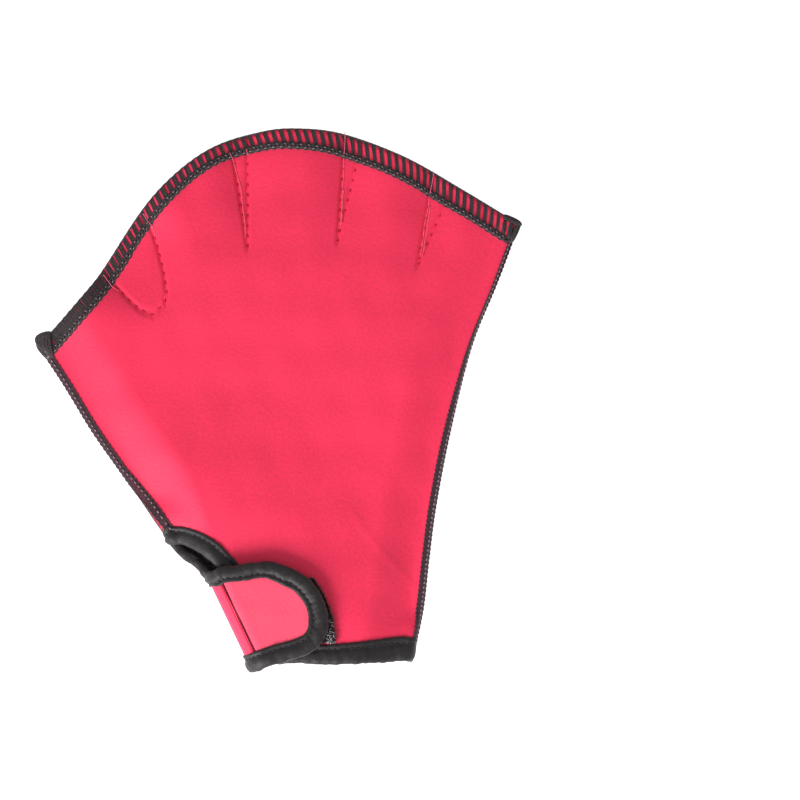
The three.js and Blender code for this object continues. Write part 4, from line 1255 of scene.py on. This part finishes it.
def back_tape_edge():
    hem = np.concatenate([LITTLE_TURN[::-1], np.linspace(2, 1, HEM_STATIONS)[1:], THUMB_TURN[::-1][1:-1]])
    wrap = np.linspace(0, -1, 26)
    up_wrap = wrap[::-1]
    tab = np.concatenate([np.linspace(low, high, count)[1:] for low, high, count in (
        (0, TAB_LOWER, 30), (TAB_LOWER, TAB_UPPER, 90), (TAB_UPPER, 1, 30))])[:-1]
    tab_width = lerp(1, NARROW_TAPE, smoothstep(tab, TAB_UPPER - 0.08, TAB_UPPER + 0.05))
    return chained([
        row_edge(BACK, hem, 0, 1),
        row_edge(BACK, wrap, 0, 1),
        outline_edge(strap_height, TAB_OUTLINE.at(tab), inward_along(TAB_OUTLINE, tab, 1), -1, tab_width),
        row_edge(BACK, up_wrap, STRAP_TOP_ROW, -1,
                 wide=lerp(0.66, NARROW_TAPE, smoothstep(-up_wrap, 0.5, 1))),
    ])


def slit_tape_edge():
    a_millimetre = (SLIT_TOP_ROW - STRAP_TOP_ROW) / BACK_SLIT.length
    return slit_edge(np.linspace(STRAP_TOP_ROW + 0.2 * a_millimetre, SLIT_TOP_ROW - a_millimetre, 34))


def slit_lining():
    """Crumpled tape that fills the mouth of the slit between its two edges."""
    share = np.linspace(0.03, 0.97, 60)
    front, back = FRONT_SLIT.spaced(lerp(0.6, 1.0, share)), BACK_SLIT.spaced(share)
    gap = np.linalg.norm(front - back, axis=1) / 2
    middle = with_height((front + back) / 2, lerp(6.2, 3.1, smoothstep(share, 0, 0.8)))
    crumple = soft_noise(middle[:, :2], 2.4, SEED + 33)
    middle[:, 2] += 0.35 * crumple
    return tube(middle, (gap + 0.9) * (1 + 0.08 * crumple), sides=16, flat=0.42)


def corner_roll(slit, back, roll):
    """Round fold of tape where the slit's edge meets the strap's upper edge."""
    slit_nose, wrap_nose = (points[:, -1] + out * TAPE_NOSE * 0.35 for points, _, out in (slit, back))
    wrap_nose = wrap_nose[::-1]
    corner = (slit_nose[0] + wrap_nose[0]) / 2
    path = Curve([*slit_nose[[13, 8, 4]], corner, *wrap_nose[[5, 11, 17]]])
    share = np.linspace(0, 1, 60)
    places = path.spaced(share)
    swell = 0.62 + 0.36 * np.sin(math.pi * share) ** 2
    bumps = 1 + 0.03 * soft_noise(places, 3.0, SEED + 34)
    return tube(places, (TAPE_OUTER + roll) * swell * bumps, sides=18)


class GLOVE_OT_bindings(bpy.types.Operator):
    """Make the folded tapes and their stitches"""
    bl_idname = "glove.bindings"
    bl_label = "Binding tapes"

    def execute(self, context):
        settings, threads = context.scene.glove_tape, context.scene.glove_thread
        tape = tape_material("satin_tape", settings)
        thread = thread_material("tape_thread", scaled(settings.colour, 0.4))
        front, back, slit = front_tape_edge(), back_tape_edge(), slit_tape_edge()
        at_slit = [slit_lining(), corner_roll(slit, back, settings.roll)]
        stitches = []
        for name, node, edge, side, seed, more in (
            ("front_tape", "front_binding", front, 1, SEED + 10, []),
            ("back_tape", "back_binding", back, -1, SEED + 20, []),
            ("slit_tape", "slit_binding", slit, 1, SEED + 30, at_slit),
        ):
            fold = ring_mesh(tape_profile(edge, settings, seed))
            make_piece(name, [fold, *more], tape, [node])
            stitches += tape_stitches(edge, side, threads.thickness * 0.42)
        make_piece("tape_stitches", stitches, thread)
        return {"FINISHED"}


# Threads of the arc edge
THREAD_FLOOR = 0.4
THREAD_SLANT = 0.27
THREAD_SPACING = 1.75
PATH_SHARES = np.array([1.02, 0.88, 0.6, 0.3, 0.08, 0.01, 0.0, 0.01, 0.1, 0.5, 0.8])
PATH_OUT = np.array([0, 0, 0, 0, 0, 0, 0.25, 0, 0, 0, 0])
PATH_LIFTS = np.array([0.75, 1, 1, 1, 1, 0.85, 0, -0.85, -1, -1, -1])
CHAIN_WIDTH = 1.95
CHAIN_RUNS = (0.4, 0.95, 1.45, 1.8)


class EdgeBand:
    """Cloth beside the arc edge of a panel, by length along it and length in from it."""

    def __init__(self, panel, row):
        self.panel, self.row = panel, row
        self.across = np.linspace(0, 3, 1801)
        edge = panel.point(self.across, row)
        self.lengths = run_lengths(edge)
        self.length = self.lengths[-1]
        along = unit(np.gradient(edge, axis=0))
        into = panel.point(self.across, row - STEP) - edge
        into -= along * (into * along).sum(-1, keepdims=True)
        self.rate = np.linalg.norm(into, axis=-1) / STEP

    def place(self, along, inward, lift):
        along, inward, lift = np.broadcast_arrays(along, inward, lift)
        across = np.interp(along, self.lengths, self.across)
        row = self.row - np.maximum(inward, 0) / np.interp(across, self.across, self.rate)
        place = self.panel.point(across, row) + self.panel.square(across, row) * lift[..., None]
        outward = unit(self.panel.point(across, 1) - self.panel.point(across, 1 - STEP))
        place = place + outward * np.maximum(-inward, 0)[..., None]
        place[..., 2] = np.maximum(place[..., 2], THREAD_FLOOR)
        return place

    def width(self, along, widest):
        """The overlocked edge is narrower on the thumb's side of the arc."""
        return widest * lerp(0.73, 1.0, smoothstep(along / self.length, 0.42, 0.72))


def overlock_parts(band, settings, outside, seed):
    """Cross threads in bundles, and the looper threads along the very edge."""
    rng = np.random.default_rng(seed)
    radius, pitch = settings.thickness / 2, settings.overlock_pitch
    spacing = radius * THREAD_SPACING
    lift = HALF + radius * 0.7 - (FRONT_SQUEEZE if outside > 0 else 0)
    parts = []
    for start in np.arange(1.0, band.length - 2.6, pitch):
        share = start / band.length
        on_arc = lerp(0.62, 0.47, smoothstep(share, 0.3, 0.75))
        filled = lerp(0.99, on_arc, smoothstep(share, 0.05, 0.3))
        inward = PATH_SHARES * band.width(start, settings.overlock_width) - PATH_OUT
        threads = int(round(filled * pitch / spacing))
        for k in range(threads):
            offset = (k - (threads - 1) / 2) * spacing
            along = start + offset + THREAD_SLANT * inward + rng.normal(0, 0.05, len(inward))
            path = band.place(along, inward, PATH_LIFTS * lift * outside * rng.uniform(0.95, 1.1))
            parts.append(tube(path, radius * rng.uniform(0.9, 1.1), sides=5))
    steps = np.linspace(0.4, band.length - 0.4, int(band.length / 0.7))
    wander = 0.1 * np.sin(steps * 2 * math.pi / pitch)
    thick = radius * (1.2 if outside > 0 else 1.8)
    parts.append(tube(band.place(steps, -0.15 + wander, 0.45 * outside), thick))
    parts.append(tube(band.place(steps, -0.1 - wander, -0.45 * outside), thick))
    return parts


def chain_parts(band, settings, outside):
    """Looped chain on the inner side of an overlocked edge, and paler dots on it that are painted
    highlights of its threads.
    """
    radius, pitch = settings.thickness / 2, settings.overlock_pitch
    base = (HALF - FRONT_SQUEEZE * 0.7 + 0.1) * outside
    steps = np.linspace(0.6, band.length - 0.5, int(band.length / 0.25))
    width = band.width(steps, settings.overlock_width)
    middle = width - CHAIN_WIDTH / 2
    turns = steps / pitch
    dark, light = [], []

    def run(inward, lift, thick):
        dark.append(tube(band.place(steps, inward, lift), thick, sides=5))

    for centre in CHAIN_RUNS:
        bed = band.place(steps[::3], width[::3] - centre, base)
        dark.append(tube(bed, 0.5, flat=0.7))
    bite = 0.45 * np.abs(np.sin(math.pi * turns))
    run(width - 0.1 + bite, base + 0.12 * outside, radius * 1.2)
    for phase in (0.0, 0.5):
        swing = np.sin(2 * math.pi * (turns + phase))
        lift = base + outside * (0.45 + 0.12 * np.cos(4 * math.pi * turns))
        run(middle + swing * CHAIN_WIDTH * 0.46, lift, radius * 1.2)
        run(middle + swing * 0.5, lift + 0.1 * outside, radius * 0.9)
    # Paler dots in the glint colour: painted highlights on the chain's threads
    knot_lift = base + outside * np.array([0.5, 0.68, 0.5])
    for at in np.arange(1.2, band.length - 1.5, pitch):
        for place, ahead in ((0.35, 0.0), (CHAIN_WIDTH * 0.72, pitch / 2)):
            inward = band.width(at, settings.overlock_width) - place
            knot = band.place(at + ahead + np.array([-0.35, 0, 0.35]), inward, knot_lift)
            light.append(tube(knot, radius * 0.8, sides=5))
    return dark, light


class GLOVE_OT_overlock(bpy.types.Operator):
    """Make the overlocked threads of both panels' arc edges"""
    bl_idname = "glove.overlock"
    bl_label = "Arc overlock"

    def execute(self, context):
        settings = context.scene.glove_thread
        black = thread_material("black_thread", settings.colour)
        # chain_glints paints highlights on the chain threads
        pale = thread_material("chain_glints", settings.glint)
        knots = []
        for name, band, outside, seed in (
            ("front_overlock", EdgeBand(FRONT, FRONT_EDGE_ROW), 1, SEED + 40),
            ("back_overlock", EdgeBand(BACK, BACK_EDGE_ROW), -1, SEED + 50),
        ):
            dark, light = chain_parts(band, settings, outside)
            parts = overlock_parts(band, settings, outside, seed) + dark
            make_piece(name, parts, black)
            knots += light
        make_piece("chain_glint_knots", knots, pale)
        return {"FINISHED"}


# Side seams
SEAM_COVER = 2.9
THUMB_PITCH = 2.1
LITTLE_PITCH = 1.8
MESH_STEP = 0.62
BACK_REACH = 1.6
THUMB_REACH_ROWS = (0.30, 0.345, 0.424, 0.552)
THUMB_REACHES = (6.4, 5.4, 4.0, 2.2)


def side_path(panel, side, rows, length):
    """Line on a panel at a side, at a length of cloth from the seam, and its squares."""
    radius = side[2](rows)
    past = np.maximum(length - radius * QUARTER - SEAM_FLAT, 0)
    width = np.linalg.norm(panel.patch(0.0, rows) - panel.patch(1.0, rows), axis=-1)
    across = np.minimum(turn_share(radius, length), 1) + past / width
    if side is LITTLE_SIDE:
        across = 3 - across
    return panel.point(across, rows), panel.square(across, rows)


def side_length(side):
    ends = side[0](np.array([SLIT_TOP_ROW, 1]))
    return np.linalg.norm(ends[1] - ends[0]) / (1 - SLIT_TOP_ROW)


def side_rows(side, step, first, last):
    """Rows at even steps along a side's edge."""
    rows = np.linspace(first, last, 400)
    lengths = run_lengths(side[0](rows))
    return np.interp(np.arange(0, lengths[-1], step), lengths, rows)


def ladder_parts(side, first, last, pitch, reach, stand, settings):
    """Rails and rungs over a side seam, with paler dots between the rails that are painted highlights of
    the threads.
    """
    radius = settings.thickness / 2
    swell = 1.4 if side is THUMB_SIDE else 1.0
    a_millimetre = 1 / side_length(side)
    dark, light = [], []

    def thread(parts, panel, rows, length, lift, thick, sides=5):
        length = np.broadcast_to(length, rows.shape)
        point, square = side_path(panel, side, rows, np.maximum(length, 0))
        away = HALF + lift + np.maximum(-length, 0)
        path = point + square * ((1 if panel is FRONT else -1) * away)[:, None]
        path[:, 2] = np.maximum(path[:, 2], radius)
        parts.append(tube(path, thick, sides=sides))

    rows = side_rows(side, pitch / 6, first, last)
    inner = reach(rows)
    start = np.maximum(-stand(rows), inner - SEAM_COVER)
    for share in np.linspace(0.06, 0.94, 8):
        thread(dark, FRONT, rows[::2], lerp(start, inner, share)[::2], 0.0, radius * 1.35)
    bite = 0.14 * np.sin(np.arange(len(rows)) * math.pi / 3)
    thread(dark, FRONT, rows, inner + bite, radius * 0.6, radius * 1.1)
    thread(dark, FRONT, rows, start - bite, radius * 0.9, radius * 1.25)
    thread(dark, BACK, rows, BACK_REACH + bite, radius * 0.5, radius)
    for row in side_rows(side, pitch / 2, first, last):
        thread(dark, BACK, np.full(6, row), np.linspace(0, BACK_REACH, 6), radius * 0.4, radius * 0.8, 4)
    # Paler dots in the glint colour: painted highlights on the seam threads
    for row in side_rows(side, pitch, first, last):
        near, far = float(reach(row)), -float(stand(row))
        middle = max(near - lerp(0.85, 1.45, smoothstep(near, 2.2, 5)), 0.6)
        at = row + np.array([-0.5, 0, 0.5]) * pitch * 0.42 * a_millimetre
        thread(light, FRONT, at, middle, radius * np.array([1.8, 2.4, 1.8]), radius * swell)
        if near - far > SEAM_COVER + 1:
            outer = (near - SEAM_COVER + far) / 2
            thread(light, FRONT, at, outer, radius * 1.2, radius * 0.8)
    for row in side_rows(side, MESH_STEP, first, last):
        near, far = float(reach(row)) - SEAM_COVER, -float(stand(row))
        if near - far > 0.4:
            at = row + np.linspace(0, 1.4, 5) * a_millimetre
            thread(dark, FRONT, at, np.linspace(far, near, 5), radius * 0.5, radius * 0.72, 4)
    return dark, light


class GLOVE_OT_side_seams(bpy.types.Operator):
    """Make the laddered threads of the two side seams"""
    bl_idname = "glove.side_seams"
    bl_label = "Side seams"

    def execute(self, context):
        settings = context.scene.glove_thread
        red, green, blue = settings.colour
        black = thread_material("seam_thread", (1.3 * red, 0.7 * green, 0.95 * blue))
        # seam_glints paints highlights on the seam threads
        pale = thread_material("seam_glints", scaled(settings.glint, 0.75))
        thumb, thumb_glint_knots = ladder_parts(
            THUMB_SIDE, SLIT_TOP_ROW + 0.01, 0.985, THUMB_PITCH,
            lambda row: np.interp(row, THUMB_REACH_ROWS, THUMB_REACHES),
            lambda row: np.full(np.shape(row), 0.1), settings)
        little, little_glint_knots = ladder_parts(
            LITTLE_SIDE, 0.035, 0.985, LITTLE_PITCH,
            lambda row: lerp(1.9, 0.7, smoothstep(row, 0.4, 0.9)),
            lambda row: 0.05 + 0.7 * smoothstep(row, 0.7, 0.92), settings)
        make_piece("thumb_side_ladder", thumb, black)
        make_piece("little_side_ladder", little, black)
        make_piece("ladder_glint_knots", thumb_glint_knots + little_glint_knots, pale)
        return {"FINISHED"}


# Knots at the arc's corners: spindles as start, end, radius, share of height and seed
THUMB_SPINDLES = (
    ((-79.6, 130.4, 2.7), (-78.0, 121.0, 2.7), 1.9, 1.25, 60),
    ((-83.4, 127.8, 2.6), (-78.4, 121.6, 2.6), 1.9, 1.15, 62),
)
LITTLE_SPINDLES = (
    ((95.6, 176.2, 2.9), (103.3, 172.7, 2.9), 1.3, 1.95, 63),
    ((102.6, 173.7, 2.8), (99.0, 165.9, 2.8), 1.0, 2.1, 64),
    ((99.2, 173.4, 4.5), (98.3, 167.4, 4.5), 0.8, 0.8, 65),
    ((96.8, 174.4, 4.4), (96.3, 169.2, 4.5), 0.7, 0.8, 66),
)
LOOP_ENDS = np.array([(-78.6, 131.4, 4.7), (-77.2, 121.2, 4.3)])
LOOP_OUT = np.array([-0.96, 0.28])
LOOP_REACH = 6.7
LOOP_HEIGHT = 1.1
LOOP_LAYERS = ((0.0, 0.0), (0.03, -1.2), (0.0, -2.3))


def wound_end(start, end, radius, tall, seed, thread):
    """Spindle between two points, with thread wound along it at a slant."""
    rng = np.random.default_rng(SEED + seed)
    start, end = np.array(start), np.array(end)
    axis = unit(end - start)
    side = unit(np.cross(axis, np.array([0, 0, 1.0])))
    above = np.cross(side, axis) * tall

    def swell(share):
        return radius * np.sqrt(np.clip(1 - np.abs(2 * share - 1) ** 3, 0.05, 1))[:, None]

    share = np.linspace(0, 1, 16)
    core = lerp(start, end, share[:, None])
    parts = [tube(core, swell(share)[:, 0] * 0.92, sides=14, flat=tall)]
    share = np.linspace(0, 1, 24)
    for turn in np.arange(0, 2 * math.pi, thread * 1.9 / radius):
        angle = turn + 1.1 * share[:, None] + rng.normal(0, 0.05)
        ring = np.cos(angle) * side + np.sin(angle) * above
        path = lerp(start, end, share[:, None]) + ring * swell(share)
        parts.append(tube(path, thread * rng.uniform(0.85, 1.1), sides=5))
    return parts


def looped_end(thread):
    """Fan of threads round the thumb's corner, with the widest standing out furthest."""
    rng = np.random.default_rng(SEED + 61)
    share = np.linspace(0, 1, 26)
    sine = np.sin(math.pi * share)
    parts = []
    for layer, rise in LOOP_LAYERS:
        for place in np.arange(0.06, 1.0, thread * 2.9 / LOOP_REACH):
            path = lerp(*LOOP_ENDS, share[:, None])
            path[:, :2] += (LOOP_REACH * (place + layer) * sine ** 0.8)[:, None] * LOOP_OUT
            path[:, 2] += (rise + LOOP_HEIGHT * math.cos((place - 0.25) * 1.9)) * sine ** 0.5
            path += rng.normal(0, 0.05, 3)
            parts.append(tube(path, thread * rng.uniform(1.2, 1.5)))
    return parts


class GLOVE_OT_corner_knots(bpy.types.Operator):
    """Make the knotted thread ends at both corners of the arc"""
    bl_idname = "glove.corner_knots"
    bl_label = "Corner knots"

    def execute(self, context):
        settings = context.scene.glove_thread
        black = thread_material("knot_thread", settings.colour)
        radius = settings.thickness / 2
        parts = looped_end(radius)
        for spindle in THUMB_SPINDLES + LITTLE_SPINDLES:
            parts += wound_end(*spindle, radius)
        make_piece("corner_knots", parts, black)
        return {"FINISHED"}


# Web seams
STITCH_ARCH = np.array([0.0, 0.3, 0.42, 0.3, 0.0])
TAIL_RADIUS = 0.13
TAIL_STEPS = 60

# Loose thread ends that lie along the webs
TAIL_LINES = (
    ((-9.2, 200.4), (-8.2, 198.0), (-5.4, 188.6), (-4.2, 181.0), (-2.9, 168.0)),
    ((-2.9, 201.8), (-2.5, 200.6), (-2.1, 199.4)),
    ((35.2, 208.6), (34.9, 198.0), (34.2, 184.0), (33.6, 172.5)),
    ((34.6, 186.0), (34.2, 180.0), (33.9, 173.0)),
    ((69.4, 193.4), (68.0, 184.0), (66.2, 174.0), (64.4, 161.0)),
    ((68.0, 180.0), (67.0, 172.0), (65.0, 160.0)),
    ((-58.0, 153.4), (-56.4, 151.6), (-54.6, 149.1), (-52.0, 147.0)),
    ((-42.6, 177.0), (-40.8, 174.2), (-39.0, 171.8), (-38.0, 168.0)),
)


def on_front(place, lift):
    return with_height(place, front_height(place) + HALF + lift)


class GLOVE_OT_web_seams(bpy.types.Operator):
    """Make the stitches of the web seams and their loose pale thread ends"""
    bl_idname = "glove.web_seams"
    bl_label = "Web seams"

    def execute(self, context):
        settings, cloth = context.scene.glove_thread, context.scene.glove_cloth
        red = thread_material("web_thread", settings.seam, 0.2)
        pale = thread_material("thread_tails", settings.tail)
        radius, sunk = settings.thickness / 2 * 1.15, -cloth.groove_depth * 1.35
        stitches, tails = [], []
        for leg in WEB_LEGS:
            reach = 0.55 if len(leg) == 3 else 0.85
            for place, along in stitch_places(leg):
                path = place + along * np.linspace(-reach, reach, 5)[:, None]
                stitches.append(tube(on_front(path, sunk + STITCH_ARCH), radius))
        for line in TAIL_LINES:
            path = Curve(line).spaced(np.linspace(0, 1, TAIL_STEPS))
            over_chain = fade(distance_to_line(path, ARC_FINE), 6.5, 8.5)
            path[:, 0] += 0.12 * np.sin(np.linspace(0, 17, TAIL_STEPS))
            tails.append(tube(on_front(path, 0.05 + 0.75 * over_chain), TAIL_RADIUS))
        make_piece("web_stitches", stitches, red)
        make_piece("thread_tails_loose", tails, pale)
        return {"FINISHED"}


# Strap seam
SEAM_PITCH = 1.9
SEAM_SWING = 0.3


class GLOVE_OT_strap_seam(bpy.types.Operator):
    """Make the stitched butt seam between the wrap and the strap's tab; its dark threads are real
    stitches and also painted shade of the gap in the seam.
    """
    bl_idname = "glove.strap_seam"
    bl_label = "Strap seam"

    def execute(self, context):
        settings = context.scene.glove_thread
        # Very dark thread: real stitches, darkened further as painted shade of the seam's gap
        thread = thread_material("strap_thread_gap_shade", scaled(settings.seam, 0.22), 0.2)
        top = STRAP_FOOT + STRAP_WIDTH - NARROW_TAPE * TAPE_WIDTH
        up = np.arange(STRAP_FOOT + TAPE_WIDTH - 0.5, top + 0.5, 0.25)
        angle = up * 2 * math.pi / SEAM_PITCH
        runs = []
        for way in (1, -1):
            place = strap_place(TAB_START + 0.12 + way * SEAM_SWING * np.sin(angle), up)
            level = strap_height(place) + HALF + 0.06 + 0.1 * way * np.cos(angle)
            runs.append(tube(with_height(place, level), settings.thickness * 0.62))
        make_piece("strap_seam", runs, thread)
        return {"FINISHED"}


class GLOVE_OT_sheets(bpy.types.Operator):
    """Last step, which changes nothing in the scene."""
    bl_idname = "glove.sheets"
    bl_label = "Cloth sizes"

    def execute(self, context):
        return {"FINISHED"}


# Stage
VIEW_CENTRE = (0.0472, -0.0002)
VIEW_HEIGHT = 0.006
SENSOR = 36.0
FLOOR_SIDE = 3.0
FLOOR_GAP = 0.00005
FAR_CLIP = 20
LIGHT_PLACE = (-0.5, -0.78, 0.52)
LIGHT_SIZE = (0.7, 0.5)
WHITE = (1, 1, 1, 1)


def area_light(name, place, size, power):
    """Light at a place that faces the glove's middle."""
    data = bpy.data.lights.new(name, "AREA")
    data.shape, data.energy = "RECTANGLE", power
    data.size, data.size_y = size
    light = bpy.data.objects.new(name, data)
    light.location = place
    light.rotation_euler = (-Vector(place)).to_track_quat("-Z", "Y").to_euler()
    bpy.context.scene.collection.objects.link(light)


class GLOVE_OT_stage(bpy.types.Operator):
    """Make the floor, the lights and the camera"""
    bl_idname = "glove.stage"
    bl_label = "Stage"

    def execute(self, context):
        scene, settings = context.scene, context.scene.glove_stage
        material, _, shader = new_material("plain_floor", settings.floor_colour, 0.9, 0.1)
        shader.inputs["Emission Color"].default_value = WHITE
        shader.inputs["Emission Strength"].default_value = settings.floor_glow
        mesh = bpy.data.meshes.new("floor")
        corners = [(x * FLOOR_SIDE, y * FLOOR_SIDE, 0) for x, y in ((-1, -1), (1, -1), (1, 1), (-1, 1))]
        mesh.from_pydata(corners, [], [(0, 1, 2, 3)])
        mesh.materials.append(material)
        floor = bpy.data.objects.new("floor", mesh)
        scene.collection.objects.link(floor)
        floor.location.z = CAD_BOX[0].z - FLOOR_GAP
        world = bpy.data.worlds.new("studio")
        world.use_nodes = True
        sky = world.node_tree.nodes["Background"]
        sky.inputs["Color"].default_value = WHITE
        sky.inputs["Strength"].default_value = settings.sky
        scene.world = world
        area_light("wrist_end_softbox", LIGHT_PLACE, LIGHT_SIZE, settings.key_power)
        scene.view_settings.view_transform = "Standard"
        camera = bpy.data.cameras.new("camera")
        camera.lens, camera.sensor_width, camera.clip_end = settings.lens, SENSOR, FAR_CLIP
        eye = bpy.data.objects.new("camera", camera)
        scene.collection.objects.link(eye)
        distance = settings.view_width * settings.lens / SENSOR
        eye.location = (*VIEW_CENTRE, VIEW_HEIGHT + distance)
        scene.camera = eye
        return {"FINISHED"}


class GLOVE_PT_sidebar(bpy.types.Panel):
    """Settings and steps of the glove"""
    bl_label = "Webbed swim glove"
    bl_idname = "GLOVE_PT_sidebar"
    bl_space_type = "VIEW_3D"
    bl_region_type = "UI"
    bl_category = "Glove"

    def draw(self, context):
        for group in GROUPS:
            settings = getattr(context.scene, group)
            box = self.layout.box()
            box.label(text=settings.bl_rna.description)
            for name in settings.bl_rna.properties.keys():
                if name not in ("rna_type", "name"):
                    box.prop(settings, name)
        for operator in OPERATORS:
            self.layout.operator(operator.bl_idname)


GROUPS = {"glove_cloth": ClothSettings, "glove_tape": TapeSettings,
          "glove_thread": ThreadSettings, "glove_stage": StageSettings}
OPERATORS = (GLOVE_OT_stage, GLOVE_OT_panels, GLOVE_OT_strap, GLOVE_OT_patches,
             GLOVE_OT_bindings, GLOVE_OT_overlock, GLOVE_OT_side_seams, GLOVE_OT_corner_knots,
             GLOVE_OT_web_seams, GLOVE_OT_strap_seam, GLOVE_OT_sheets)


def register():
    for group in GROUPS.values():
        bpy.utils.register_class(group)
    for operator in OPERATORS:
        bpy.utils.register_class(operator)
    bpy.utils.register_class(GLOVE_PT_sidebar)
    for name, group in GROUPS.items():
        setattr(bpy.types.Scene, name, PointerProperty(type=group))


def unregister():
    for name in GROUPS:
        delattr(bpy.types.Scene, name)
    bpy.utils.unregister_class(GLOVE_PT_sidebar)
    for operator in reversed(OPERATORS):
        bpy.utils.unregister_class(operator)
    for group in reversed(list(GROUPS.values())):
        bpy.utils.unregister_class(group)


def main():
    register()
    bpy.ops.glove.stage()
    bpy.ops.glove.panels()
    bpy.ops.glove.strap()
    bpy.ops.glove.patches()
    bpy.ops.glove.bindings()
    bpy.ops.glove.overlock()
    bpy.ops.glove.side_seams()
    bpy.ops.glove.corner_knots()
    bpy.ops.glove.web_seams()
    bpy.ops.glove.strap_seam()
    bpy.ops.glove.sheets()


if __name__ == "__main__":
    main()
